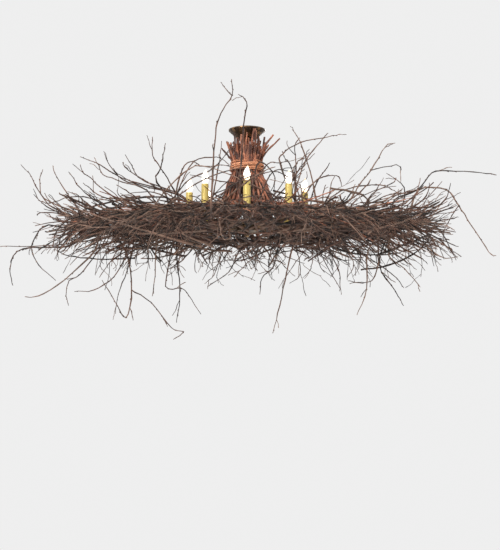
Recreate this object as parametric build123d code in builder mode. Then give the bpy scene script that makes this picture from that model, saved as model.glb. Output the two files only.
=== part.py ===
from build123d import *
from math import atan2, cos, degrees, hypot, pi, radians, sin, sqrt
from random import Random
import os

# A rustic semi-flush ceiling light: a canopy, a sheaf of sticks round a stem, and a nest of twigs with lamps.
# Millimetres. +Z is up. The origin is the centre of the canopy on the ceiling, so everything hangs below z = 0.

# The canopy, a spun shell
canopy_dia = 130.0
canopy_depth = 32.0
canopy_foot_dia = 74.0
canopy_lip = 4.0
canopy_wall = 1.2

# The crossbar that is screwed to the outlet box
bar_length = 108.0
bar_width = 22.0
bar_thick = 2.5
slot_spacing = 79.4
slot_length = 16.5
slot_width = 5.0
ground_screw_offset = 17.0
ground_screw_dia = 4.0
ground_head_dia = 8.0
ground_head_height = 2.2

# The threaded nipple, its locknut and the collar under the canopy
nipple_dia = 13.2
nipple_bore = 9.6
locknut_across_flats = 20.0
locknut_height = 4.0
collar_dia = 30.0
collar_height = 7.0
tapped_depth = 16.0

# The stem
stem_dia = 21.0
stem_bore = 17.0

# Clearances: threads, slip fits, and a hole that something only passes through
thread_gap = 0.1
slip_gap = 0.25
pass_gap = 0.5

# The ring of candle lamps
lamp_count = 8
lamp_ring_radius = 203.0
candle_top = -228.0
cover_length = 90.0
cover_dia = 25.0
cover_wall = 1.2
cup_dia = 42.0
cup_rise = 6.0
cup_wall = 1.2

# The bent tube arms
arm_dia = 12.0
arm_bend = 18.0
post_dia = 9.5
post_bore = 7.0
post_grip = 9.0

# The lampholder inside each candle cover
holder_height = 26.0
holder_set_back = 3.0
holder_floor = 7.0
holder_socket = 4.0
shell_wall = 0.6
contact_dia = 9.0
contact_thick = 0.8
button_dia = 4.0

# The flame-tip bulb with its candelabra screw base
base_dia = 11.9
base_length = 15.0
base_wall = 0.6
base_set_back = 1.5
base_fit = 0.25
glass_dia = 23.0
glass_height = 52.0
glass_wall = 0.8
glass_neck_dia = 10.6
tip_lean = 3.0
contact_length = 3.0
tip_contact_dia = 6.4
filament_dia = 1.6
filament_reach = 30.0

# The hub, a turned wiring chamber under the stem
hub_dia = 76.0
hub_height = 32.0
hub_wall = 7.0
hub_roof = 5.0
bridge_width = 14.0
bridge_thick = 5.0
cover_plate_thick = 3.0
finial_dia = 18.0
finial_neck_dia = 12.0
finial_flange = 3.0
finial_neck_drop = 5.0
finial_foot = 1.5
finial_stud_dia = 6.0

# The leads and their connectors
stem_lead_dia = 2.6
lamp_lead_dia = 3.0
connector_dia = 6.2
connector_height = 10.0

# The rod frame that the twigs lie on
rod_dia = 6.0
inner_hoop_radius = 250.0
outer_hoop_half_length = 540.0
outer_hoop_half_depth = 330.0
spoke_overhang = 12.0

# The sheaf of sticks, packed in rings that touch each other round the stem
ring_counts = (8, 16, 24, 32)
bundle_gap = 0.15
tie_level = -138.0
tie_turns = 7
strand_dia = 3.4
strand_gap = 0.6
skirt_level = -265.0
skirt_radius = 95.0
lane_share = 0.6
butt_gap = 6.0
butt_step = 6.0
butt_spread = 34.0
stick_overhang = 90.0
stick_tip_dia = 3.0

# The nest of twigs and the stray sprays
nest_half_length = 770.0
nest_half_depth = 470.0
nest_rise = 135.0
front_droop = 25.0
twig_count = 216
twig_dia = 8.0
twig_tip_dia = 2.2
side_twigs = 2
spray_half_length = 880.0
spray_half_depth = 860.0
spray_height = 400.0
spray_dia = 7.0
spray_grip = 22.0
spray_hold = 3.3
spray_free = 13.2
spray_elbow = 10.5
side_spray_share = 0.55
seam_step = 25.0

os.makedirs("parts", exist_ok=True)

# Levels and radii that follow from the sizes above
bar_bottom = -bar_thick
collar_top = -canopy_depth
stem_top = collar_top - collar_height
nipple_bottom = stem_top - tapped_depth
cup_floor = candle_top - cover_length
arm_top = cup_floor - cup_wall
arm_bore = post_dia + 2 * thread_gap
arm_level = arm_top - post_grip - arm_bend - 1.0
hub_top = arm_level + hub_height / 2
hub_bottom = hub_top - hub_height
holder_top = candle_top - holder_set_back
holder_bottom = holder_top - holder_height
holder_dia = cover_dia - 2 * cover_wall - 2 * slip_gap
shell_bore = base_dia + 2 * base_fit
shell_dia = shell_bore + 2 * shell_wall
holder_floor_level = holder_bottom + holder_floor
base_top = candle_top - base_set_back
base_bottom = base_top - base_length
nest_level = arm_level + rod_dia
lamp_step = 360.0 / lamp_count
first_lamp = -90.0


def lamp_ring():
    """The axes of the candle lamps."""
    return PolarLocations(lamp_ring_radius, lamp_count, start_angle=first_lamp)


def oval_radius(half_length, half_depth, bearing):
    """How far an oval reaches from its centre towards a bearing."""
    along = half_depth * cos(radians(bearing))
    across = half_length * sin(radians(bearing))
    return half_length * half_depth / hypot(along, across)


# Canopy: a lip at the ceiling, then a hollow curve in to a flat foot
def canopy_section(inset):
    """Half of the canopy's section, from the ceiling down to the foot, with all its faces moved in."""
    rim = canopy_dia / 2 - inset
    foot = canopy_foot_dia / 2 - inset
    floor = -canopy_depth + inset
    waist = (foot + 0.34 * (rim - foot), floor + 0.36 * (canopy_depth - canopy_lip))
    with BuildSketch(Plane.XZ) as section:
        with BuildLine():
            Line((0, 0), (rim, 0))
            Line((rim, 0), (rim, -canopy_lip))
            ThreePointArc((rim, -canopy_lip), waist, (foot, floor))
            Line((foot, floor), (0, floor))
            Line((0, floor), (0, 0))
        make_face()
    return section.sketch


with BuildPart() as canopy:
    revolve(canopy_section(0), axis=Axis.Z)
    revolve(canopy_section(canopy_wall), axis=Axis.Z, mode=Mode.SUBTRACT)
    with BuildSketch(Plane.XY.offset(-canopy_depth)):
        Circle(nipple_dia / 2 + pass_gap)
    extrude(amount=canopy_wall, mode=Mode.SUBTRACT)

# Crossbar: a flat bar with a tapped centre, two long slots and a tapped hole for the ground screw
with BuildPart() as mounting_crossbar:
    with BuildSketch(Plane.XY.offset(bar_bottom)):
        RectangleRounded(bar_length, bar_width, bar_width / 4)
        Circle(nipple_dia / 2 + thread_gap, mode=Mode.SUBTRACT)
        with GridLocations(slot_spacing, 0, 2, 1):
            SlotOverall(slot_length, slot_width, mode=Mode.SUBTRACT)
        with Locations((ground_screw_offset, 0)):
            Circle(ground_screw_dia / 2 + thread_gap, mode=Mode.SUBTRACT)
    extrude(amount=bar_thick)

with BuildPart() as ground_screw:
    with Locations((ground_screw_offset, 0, 0)):
        Cylinder(ground_screw_dia / 2, bar_thick, align=(Align.CENTER, Align.CENTER, Align.MAX))
    with Locations((ground_screw_offset, 0, bar_bottom)):
        Cylinder(ground_head_dia / 2, ground_head_height, align=(Align.CENTER, Align.CENTER, Align.MAX))
    with BuildSketch(Plane.XY.offset(bar_bottom - ground_head_height)):
        with Locations((ground_screw_offset, 0)):
            Rectangle(ground_head_dia, 1.0)
    extrude(amount=ground_head_height / 2, mode=Mode.SUBTRACT)

# Nipple, its locknut under the bar, and the collar that holds the canopy up
with BuildPart() as threaded_nipple:
    with BuildSketch(Plane.XY.offset(nipple_bottom)):
        Circle(nipple_dia / 2)
        Circle(nipple_bore / 2, mode=Mode.SUBTRACT)
    extrude(amount=-nipple_bottom)

with BuildPart() as crossbar_locknut:
    with BuildSketch(Plane.XY.offset(bar_bottom - locknut_height)):
        RegularPolygon(locknut_across_flats / 2, 6, major_radius=False)
        Circle(nipple_dia / 2 + thread_gap, mode=Mode.SUBTRACT)
    extrude(amount=locknut_height)
    chamfer(crossbar_locknut.edges().group_by(Axis.Z)[0].filter_by(GeomType.LINE), 0.5)

with BuildPart() as canopy_collar:
    with BuildSketch(Plane.XY.offset(stem_top)):
        Circle(collar_dia / 2)
        Circle(nipple_dia / 2 + thread_gap, mode=Mode.SUBTRACT)
    extrude(amount=collar_height)
    chamfer(canopy_collar.edges().group_by(Axis.Z)[0].sort_by(SortBy.RADIUS)[-1], 1.5)

# Stem: a tube whose ends are tapped for the nipple above and the hub's spigot below
with BuildPart() as stem_tube:
    with BuildSketch(Plane.XY.offset(hub_top)):
        Circle(stem_dia / 2)
        Circle(nipple_dia / 2 + thread_gap, mode=Mode.SUBTRACT)
    extrude(amount=stem_top - hub_top)
    with BuildSketch(Plane.XY.offset(hub_top + tapped_depth + 2.0)):
        Circle(stem_bore / 2)
    extrude(amount=stem_top - hub_top - 2 * tapped_depth - 4.0, mode=Mode.SUBTRACT)

# Hub: a hollow turned body with a spigot into the stem, holes for arms and spokes, and a bridge for the finial
with BuildPart() as hub_body:
    with BuildSketch(Plane.XY.offset(hub_bottom)):
        Circle(hub_dia / 2)
    extrude(amount=hub_height)
    fillet(hub_body.edges().group_by(Axis.Z)[-1], 3.0)
    with BuildSketch(Plane.XY.offset(hub_bottom)):
        Circle(hub_dia / 2 - hub_wall)
        Rectangle(hub_dia, bridge_width, mode=Mode.SUBTRACT)
    extrude(amount=bridge_thick, mode=Mode.SUBTRACT)
    with BuildSketch(Plane.XY.offset(hub_bottom + bridge_thick)):
        Circle(hub_dia / 2 - hub_wall)
    extrude(amount=hub_height - hub_roof - bridge_thick, mode=Mode.SUBTRACT)
    with BuildSketch(Plane.XY.offset(hub_top)):
        Circle(nipple_dia / 2)
    extrude(amount=tapped_depth)
    with BuildSketch(Plane.XY.offset(hub_top - hub_roof)):
        Circle(nipple_bore / 2)
    extrude(amount=hub_roof + tapped_depth, mode=Mode.SUBTRACT)
    with BuildSketch(Plane.XY.offset(hub_bottom)):
        Circle(finial_stud_dia / 2 + thread_gap)
    extrude(amount=bridge_thick, mode=Mode.SUBTRACT)
    for lamp in range(lamp_count):
        bearing = first_lamp + lamp * lamp_step
        for turn, bore in ((0, arm_dia), (lamp_step / 2, rod_dia)):
            way = Vector(1, 0, 0).rotate(Axis.Z, bearing + turn)
            with BuildSketch(Plane((0, 0, arm_level) + way * (hub_dia / 2 - 1.5 * hub_wall), z_dir=way)):
                Circle(bore / 2 + thread_gap)
            extrude(amount=2 * hub_wall, mode=Mode.SUBTRACT)

with BuildPart() as hub_cover:
    with BuildSketch(Plane.XY.offset(hub_bottom - cover_plate_thick)):
        Circle(hub_dia / 2)
        Circle(finial_stud_dia / 2 + slip_gap, mode=Mode.SUBTRACT)
    extrude(amount=cover_plate_thick)
    fillet(hub_cover.edges().group_by(Axis.Z)[0].sort_by(SortBy.RADIUS)[-1], 2.0)

# Finial: a flange against the cover, a ball under it, and a stud up into the hub's bridge
finial_top = hub_bottom - cover_plate_thick
with BuildPart() as finial:
    with BuildSketch(Plane.XZ):
        with BuildLine():
            ball = finial_dia / 2
            neck = finial_neck_dia / 2
            neck_level = finial_top - finial_neck_drop
            ball_level = neck_level - sqrt(ball**2 - neck**2)
            Line((0, finial_top), (ball, finial_top))
            Line((ball, finial_top), (ball, finial_top - finial_flange))
            Line((ball, finial_top - finial_flange), (neck, neck_level))
            foot_level = ball_level - sqrt(ball**2 - finial_foot**2)
            ThreePointArc((neck, neck_level), (ball, ball_level), (finial_foot, foot_level))
            Line((finial_foot, foot_level), (0, foot_level))
            Line((0, foot_level), (0, finial_top))
        make_face()
    revolve(axis=Axis.Z)
    with BuildSketch(Plane.XY.offset(finial_top)):
        Circle(finial_stud_dia / 2)
    extrude(amount=cover_plate_thick + bridge_thick)


# Arms: each a tube that runs out level from the hub, bends up and ends under its drip cup
def arm_route(start, end, bend):
    """The centre line of an arm, in the XZ plane: level from the hub, a quarter bend, and up."""
    with BuildLine(Plane.XZ) as route:
        Line((start, arm_level), (lamp_ring_radius - bend, arm_level))
        JernArc((lamp_ring_radius - bend, arm_level), (1, 0), bend, 90)
        Line((lamp_ring_radius, arm_level + bend), (lamp_ring_radius, end))
    return route.line


def bent_tube(route, outer, bore):
    """A tube along a route, or a wire where the bore is nought."""
    with BuildPart() as tube:
        with BuildSketch(Plane(route @ 0, z_dir=route % 0)):
            Circle(outer / 2)
            if bore:
                Circle(bore / 2, mode=Mode.SUBTRACT)
        sweep(path=route)
    return tube.part


def round_the_lamps(piece):
    """Copies of a piece that lies in the XZ plane, one for each lamp."""
    with BuildPart() as ring:
        with PolarLocations(0, lamp_count, start_angle=first_lamp):
            add(piece)
    return ring.part


arm_start = hub_dia / 2 - hub_wall - 2.0
arms = round_the_lamps(bent_tube(arm_route(arm_start, arm_top, arm_bend), arm_dia, arm_bore))
lead_top = holder_bottom + holder_socket
lamp_leads = round_the_lamps(bent_tube(arm_route(connector_dia + 4.0, lead_top, arm_bend), lamp_lead_dia, 0))

# Drip cups: spun saucers that stand on the arms, each clamped by its post
with BuildPart() as drip_cup:
    with BuildSketch(Plane.XZ):
        with BuildLine():
            flat = cover_dia / 2 + 1.5
            rim = cup_dia / 2
            Polyline((post_dia / 2 + slip_gap, cup_floor), (flat, cup_floor), (rim - cup_wall, cup_floor + cup_rise))
            Polyline((rim - cup_wall, cup_floor + cup_rise), (rim, cup_floor + cup_rise), (flat + cup_wall, arm_top))
            Polyline((flat + cup_wall, arm_top), (post_dia / 2 + slip_gap, arm_top))
            Line((post_dia / 2 + slip_gap, arm_top), (post_dia / 2 + slip_gap, cup_floor))
        make_face()
    revolve(axis=Axis.Z)

with BuildPart() as drip_cups:
    with lamp_ring():
        add(drip_cup.part)

# Socket posts: threaded tubes from the arm up into the lampholder
with BuildPart() as socket_posts:
    with BuildSketch(Plane.XY.offset(arm_top - post_grip)):
        with lamp_ring():
            Circle(post_dia / 2)
            Circle(post_bore / 2, mode=Mode.SUBTRACT)
    extrude(amount=lead_top - arm_top + post_grip)

# Lampholders: a moulded body, a screw shell in its mouth and a sprung contact on its floor
with BuildPart() as lampholder_bodies:
    with BuildSketch(Plane.XY.offset(holder_bottom)):
        with lamp_ring():
            Circle(holder_dia / 2)
    extrude(amount=holder_height)
    with BuildSketch(Plane.XY.offset(holder_floor_level)):
        with lamp_ring():
            Circle(shell_dia / 2 + thread_gap)
    extrude(amount=holder_height - holder_floor, mode=Mode.SUBTRACT)
    with BuildSketch(Plane.XY.offset(holder_bottom)):
        with lamp_ring():
            Circle(post_dia / 2 + thread_gap)
    extrude(amount=holder_socket, mode=Mode.SUBTRACT)

with BuildPart() as lampholder_shells:
    with BuildSketch(Plane.XY.offset(holder_floor_level)):
        with lamp_ring():
            Circle(shell_dia / 2)
            Circle(shell_bore / 2, mode=Mode.SUBTRACT)
    extrude(amount=holder_height - holder_floor)

tip_bottom = base_bottom - contact_length
with BuildPart() as lampholder_contacts:
    with BuildSketch(Plane.XY.offset(holder_floor_level)):
        with lamp_ring():
            Circle(contact_dia / 2)
    extrude(amount=contact_thick)
    with BuildSketch(Plane.XY.offset(holder_floor_level)):
        with lamp_ring():
            Circle(button_dia / 2)
    extrude(amount=tip_bottom - base_fit - holder_floor_level)


# Candle covers: plain sleeves that stand in the drip cups
def at_lamp(lamp):
    """Where a lamp's axis stands."""
    bearing = radians(first_lamp + lamp * lamp_step)
    return (lamp_ring_radius * cos(bearing), lamp_ring_radius * sin(bearing))


def candle_cover(lamp):
    with BuildPart() as cover:
        with BuildSketch(Plane.XY.offset(cup_floor)):
            with Locations(at_lamp(lamp)):
                Circle(cover_dia / 2)
                Circle(cover_dia / 2 - cover_wall, mode=Mode.SUBTRACT)
        extrude(amount=cover_length)
    return cover.part


# Bulbs: a flame-shaped glass envelope whose tip leans, a screw base, and the filament with its end contact
def flame(inset, crown):
    """A flame-shaped body at the origin: shares of the glass's height and radius, joined by straight spans."""
    shape = ((0.12, 0.70), (0.26, 0.95), (0.42, 1.0), (0.58, 0.86), (0.72, 0.60), (0.85, 0.34), (1.0, 0.10))
    with BuildPart() as body:
        with BuildSketch(Plane.XY.offset(base_top + inset)):
            Circle(glass_neck_dia / 2 - inset)
        for height, width in shape:
            if height > crown:
                break
            lean = tip_lean * max(0.0, (height - 0.58) / 0.42) ** 1.5
            with BuildSketch(Plane((lean, 0, base_top + height * (glass_height + base_set_back)))):
                Circle(width * glass_dia / 2 - inset * min(1.0, width))
        loft(ruled=True)
    return body.part


with BuildPart() as bulb_glass:
    add(flame(0, 1.0))
    add(flame(glass_wall, 0.9), mode=Mode.SUBTRACT)
    with BuildSketch(Plane.XY.offset(base_top)):
        Circle(glass_neck_dia / 2 - glass_wall)
    extrude(amount=glass_wall, mode=Mode.SUBTRACT)

contact_hole_dia = filament_dia + 4 * base_fit
with BuildPart() as bulb_base:
    with BuildSketch(Plane.XY.offset(base_bottom)):
        Circle(base_dia / 2)
    extrude(amount=base_length)
    with BuildSketch(Plane.XY.offset(base_bottom + base_wall)):
        Circle(base_dia / 2 - base_wall)
    extrude(amount=base_length - base_wall, mode=Mode.SUBTRACT)
    with BuildSketch(Plane.XY.offset(base_bottom)):
        Circle(contact_hole_dia / 2)
    extrude(amount=base_wall, mode=Mode.SUBTRACT)
    with BuildSketch(Plane.XY.offset(base_top - 2.0)):
        Circle(base_dia / 2 - base_wall / 2)
        Circle(glass_neck_dia / 2 - glass_wall, mode=Mode.SUBTRACT)
    extrude(amount=2.0)

with BuildPart() as bulb_filament:
    with BuildSketch(Plane.XY.offset(tip_bottom)):
        Circle(button_dia / 2)
    with BuildSketch(Plane.XY.offset(base_bottom - base_fit)):
        Circle(tip_contact_dia / 2)
    loft(ruled=True)
    with BuildSketch(Plane.XY.offset(tip_bottom)):
        Circle(filament_dia / 2)
    extrude(amount=base_top + filament_reach - tip_bottom)

bulb_pieces = {"glass": bulb_glass.part, "base": bulb_base.part, "filament": bulb_filament.part}

# Leads: two down the stem, each ending in a connector in the hub
lead_offset = nipple_bore / 2 - stem_lead_dia / 2 - thread_gap
connector_top = hub_bottom + bridge_thick + connector_height + 1.0
with BuildPart() as stem_leads:
    with BuildSketch(Plane.XY.offset(connector_top)):
        with GridLocations(2 * lead_offset, 0, 2, 1):
            Circle(stem_lead_dia / 2)
    extrude(amount=-connector_top)

with BuildPart() as wire_connectors:
    with BuildSketch(Plane.XY.offset(connector_top)):
        with GridLocations(2 * lead_offset, 0, 2, 1):
            Circle(connector_dia / 2)
    extrude(amount=-connector_height, taper=6)

# Frame: two hoops of rod on eight spokes that run out from the hub
with BuildPart() as frame_hoops:
    for half_length, half_depth in (
        (inner_hoop_radius, inner_hoop_radius),
        (outer_hoop_half_length, outer_hoop_half_depth),
    ):
        with BuildLine(Plane.XY.offset(nest_level)) as hoop:
            if half_length == half_depth:
                CenterArc((0, 0), half_length, 0, 360)
            else:
                EllipticalCenterArc((0, 0), half_length, half_depth, start_angle=0, arc_size=360)
        with BuildSketch(Plane((half_length, 0, nest_level), z_dir=(0, 1, 0))):
            Circle(rod_dia / 2)
        sweep(path=hoop.line)

with BuildPart() as frame_spokes:
    for spoke in range(lamp_count):
        bearing = first_lamp + (spoke + 0.5) * lamp_step
        reach = oval_radius(outer_hoop_half_length, outer_hoop_half_depth, bearing) + spoke_overhang
        way = Vector(1, 0, 0).rotate(Axis.Z, bearing)
        with BuildSketch(Plane((0, 0, arm_level) + way * (hub_dia / 2 - hub_wall), z_dir=way)):
            Circle(rod_dia / 2)
        extrude(amount=reach - hub_dia / 2 + hub_wall)


# Sticks and twigs: round sections square to a crooked path, joined by straight spans
def tapered_stick(path, radii, seam=0.0):
    """One stick or twig, thickest where its radii say. Its seam is turned if the loft comes out inverted."""
    points = [Vector(*point) for point in path]
    chord = points[-1] - points[0]
    across = Vector(0, 0, 1).cross(chord)
    if across.length < 0.2 * chord.length:
        across = Vector(1, 0, 0)
    with BuildPart() as stick:
        for place, (point, radius) in enumerate(zip(points, radii)):
            along = (points[min(place + 1, len(points) - 1)] - points[max(place - 1, 0)]).normalized()
            across = (across - along * along.dot(across)).normalized()
            with BuildSketch(Plane(point, x_dir=across, z_dir=along).rotated((0, 0, seam))):
                Circle(radius)
        loft(ruled=True)
    if stick.part.volume < 0 and seam < 4 * seam_step:
        return tapered_stick(path, radii, seam + seam_step)
    return stick.part.solid()


def polar(radius, bearing, height):
    return (radius * cos(radians(bearing)), radius * sin(radians(bearing)), height)


def taper(butt, tip, count):
    """Radii that fall from the butt to the tip, slowly at first."""
    return [butt + (tip - butt) * (place / (count - 1)) ** 1.3 for place in range(count)]


def nest_swell(bearing):
    """How much the nest thickens towards a bearing: most at its two long ends."""
    return 0.38 + 0.62 * abs(cos(radians(bearing))) ** 1.5


def droop(x, y):
    """How far the nest hangs below its level, at its front and back edges."""
    return front_droop * (y / nest_half_depth) ** 2


# Neck: every ring of sticks touches the one inside it and its own neighbours
def bundle_rings():
    """The radius of each ring of the sheaf, and of the sticks in it."""
    inside = stem_dia / 2
    rings = []
    for count in ring_counts:
        ring = inside / (1 - sin(pi / count))
        rings.append((ring, ring - inside - bundle_gap / 2))
        inside = 2 * ring - inside
    return rings


def neck_stick(layer, number, rng):
    """A stick from its cut butt under the canopy, through the tie, and out through the skirt into the nest."""
    ring, thick = bundle_rings()[layer]
    in_lane = ring_counts[layer] // lamp_count
    lane = number // in_lane
    centre = first_lamp + (lane + 0.5) * lamp_step
    start = first_lamp + (number + 0.5) * 360.0 / ring_counts[layer]
    through = centre + (start - centre) * lane_share
    away = centre + (start - centre) * 1.1 + rng.uniform(-9, 9)
    outermost = len(ring_counts) - 1
    flare = 0.45 + 0.55 * layer / outermost
    half_tie = tie_turns * (strand_dia + strand_gap) / 2 + strand_dia
    reach = oval_radius(nest_half_length, nest_half_depth, away) * rng.uniform(0.55, 0.9)
    reach = max(reach, inner_hoop_radius + stick_overhang)
    over_hoop = nest_level + rod_dia / 2 + thick + layer * 8.0
    lift = nest_rise * nest_swell(away) * rng.uniform(-0.7, 0.7)
    butt_rise = canopy_depth + butt_gap + (outermost - layer) * butt_step + rng.uniform(0, butt_spread)
    lean = rng.uniform(-1.0, 9.0) * layer / outermost
    halfway = (inner_hoop_radius + reach) / 2
    path = [
        polar(ring + lean, start + rng.uniform(-3, 3), -butt_rise),
        polar(ring, start, tie_level + half_tie),
        polar(ring, start, tie_level - half_tie),
        polar(ring + (skirt_radius - ring) * 0.42 * flare, start, (tie_level + skirt_level) / 2),
        polar(ring + (skirt_radius - ring) * flare, start, skirt_level - 26.0 * (1 - flare)),
        polar(lamp_ring_radius * 0.72, through, (skirt_level + over_hoop) / 2 - 12.0 * (1 - flare)),
        polar(inner_hoop_radius, through, over_hoop),
        polar(halfway, (through + away) / 2, nest_level + 0.35 * lift + 12.0),
        polar(reach, away, nest_level + lift),
    ]
    radii = [thick] * 4 + taper(thick * 0.95, stick_tip_dia / 2, len(path) - 4)
    return tapered_stick(path, radii)


stick_draw = Random(11)
neck_sticks = [
    neck_stick(layer, number, stick_draw)
    for layer in range(len(ring_counts))
    for number in range(ring_counts[layer])
]

# Tie: one strand wound round the sheaf in an unbroken helix of quarter turns, each a pair of tangent arcs
band_ring, band_stick = bundle_rings()[-1]
band_radius = band_ring + band_stick + strand_dia / 2 + bundle_gap
band_pitch = strand_dia + strand_gap


def band_point(quarter):
    """A point of the strand's centre line after so many quarter turns."""
    height = tie_level + band_pitch * (quarter / 4 - tie_turns / 2)
    return Vector(*polar(band_radius, first_lamp + 90.0 * quarter, height))


def band_way(quarter):
    """The strand's direction after so many quarter turns."""
    round_it = Vector(*polar(band_radius * pi / 2, first_lamp + 90.0 * (quarter + 1), band_pitch / 4))
    return round_it.normalized()


def arc_joint(start, start_way, end, end_way):
    """Where the two tangent arcs between two points meet, and their direction there."""
    chord = end - start
    both = start_way + end_way
    square = 2 * (1 - start_way.dot(end_way))
    reach = (sqrt(chord.dot(both) ** 2 + square * chord.dot(chord)) - chord.dot(both)) / square
    near = start + start_way * reach
    far = end - end_way * reach
    return (near + far) * 0.5, (far - near).normalized()


with BuildPart() as tie_band:
    with BuildLine() as winding:
        for quarter in range(4 * tie_turns):
            here, there = band_point(quarter), band_point(quarter + 1)
            joint, joint_way = arc_joint(here, band_way(quarter), there, band_way(quarter + 1))
            TangentArc(here, joint, tangent=band_way(quarter))
            TangentArc(joint, there, tangent=joint_way)
    with BuildSketch(Plane(winding.line @ 0, z_dir=winding.line % 0)):
        Circle(strand_dia / 2)
    sweep(path=winding.line)

samples = [winding.line @ (place / 699) for place in range(700)]
one_turn = 700 / tie_turns
tie_clear = min(
    (samples[a] - samples[b]).length
    for a in range(0, 700, 3)
    for b in range(a + int(0.75 * one_turn), 700)
)
print(f"tie band: least gap to itself {tie_clear - strand_dia:.2f} mm")


# Nest: twigs that lie on the outer hoop or hang tied under it, each with a few side twigs. The butts of those
# that hang dip under the arms.
under_arms = 2 * (nest_level - arm_level + arm_dia / 2)


def side_twig(path, radii, place, rng):
    """A short twig that grows out of a longer one."""
    root = Vector(*path[place])
    along = Vector(*path[place + 1]) - root
    turn = rng.choice((-1, 1)) * rng.uniform(22, 48)
    way = along.normalized().rotate(Axis.Z, turn) + Vector(0, 0, rng.uniform(-0.35, 0.35))
    length = along.length * rng.uniform(0.8, 1.5)
    middle = root + way * (0.5 * length) + Vector(0, 0, rng.uniform(-6, 6))
    tip = root + way.rotate(Axis.Z, -0.3 * turn) * length
    thick = 0.6 * radii[place]
    return tapered_stick([root, middle, tip], [thick, 0.8 * thick, twig_tip_dia / 2])


def nest_twig(number, rng):
    """A twig of the nest with its side twigs. Even numbers lie over the outer hoop, odd ones hang under it."""
    over = 1 if number % 2 == 0 else -1
    share = 360.0 * (number + rng.uniform(-0.4, 0.4)) / twig_count
    bearing = degrees(atan2(nest_half_depth * sin(radians(share)), nest_half_length * cos(radians(share))))
    hoop = oval_radius(outer_hoop_half_length, outer_hoop_half_depth, bearing)
    butt = twig_dia / 2 * rng.uniform(0.75, 1.15)
    radii = taper(butt, twig_tip_dia / 2, 6)
    turn = rng.uniform(-24, 24)
    bow = rng.uniform(-0.10, 0.10)
    start_share = rng.uniform(0.0, 1.0)
    end_share = rng.uniform(0.5, 1.0)
    inner = inner_hoop_radius if over > 0 else hub_dia
    back = hoop - inner - start_share * 0.3 * (hoop - inner)
    reach = oval_radius(nest_half_length, nest_half_depth, bearing)
    out = (reach - hoop) * end_share + 0.12 * hoop
    way = Vector(*polar(1, bearing + turn, 0))
    across = Vector(*polar(1, bearing + turn + 90, 0))
    knee = Vector(*polar(hoop, bearing, nest_level + over * (rod_dia / 2 + radii[2])))
    rise = over * nest_rise * nest_swell(bearing) * rng.uniform(0.05, 1.0)
    start_rise = over * (rng.uniform(4, 30) + (0 if over > 0 else under_arms))
    path = [knee - way * back + across * (bow * back) + Vector(0, 0, start_rise)]
    path += [knee - way * (0.45 * back) + Vector(0, 0, 0.35 * start_rise), knee]
    for share, lift in ((0.4, 0.25), (0.75, 0.62), (1.0, 1.0)):
        sway = out * (bow * share + rng.uniform(-0.05, 0.05))
        place = knee + way * (share * out) + across * sway + Vector(0, 0, lift * rise + rng.uniform(-7, 7))
        path.append(place - Vector(0, 0, droop(place.X, place.Y)))
    twigs = [tapered_stick(path, radii)]
    for place in rng.sample((2, 3, 4), side_twigs):
        twigs.append(side_twig(path, radii, place, rng))
    middle = path[3]
    if abs(middle.Y) > 0.75 * abs(middle.X):
        return ("nest_front" if middle.Y < 0 else "nest_back"), twigs
    return ("nest_left" if middle.X < 0 else "nest_right"), twigs


nest = {"nest_left": [], "nest_right": [], "nest_front": [], "nest_back": []}
twig_draw = Random(29)
for number in range(twig_count):
    region, twigs = nest_twig(number, twig_draw)
    nest[region] += twigs

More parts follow.
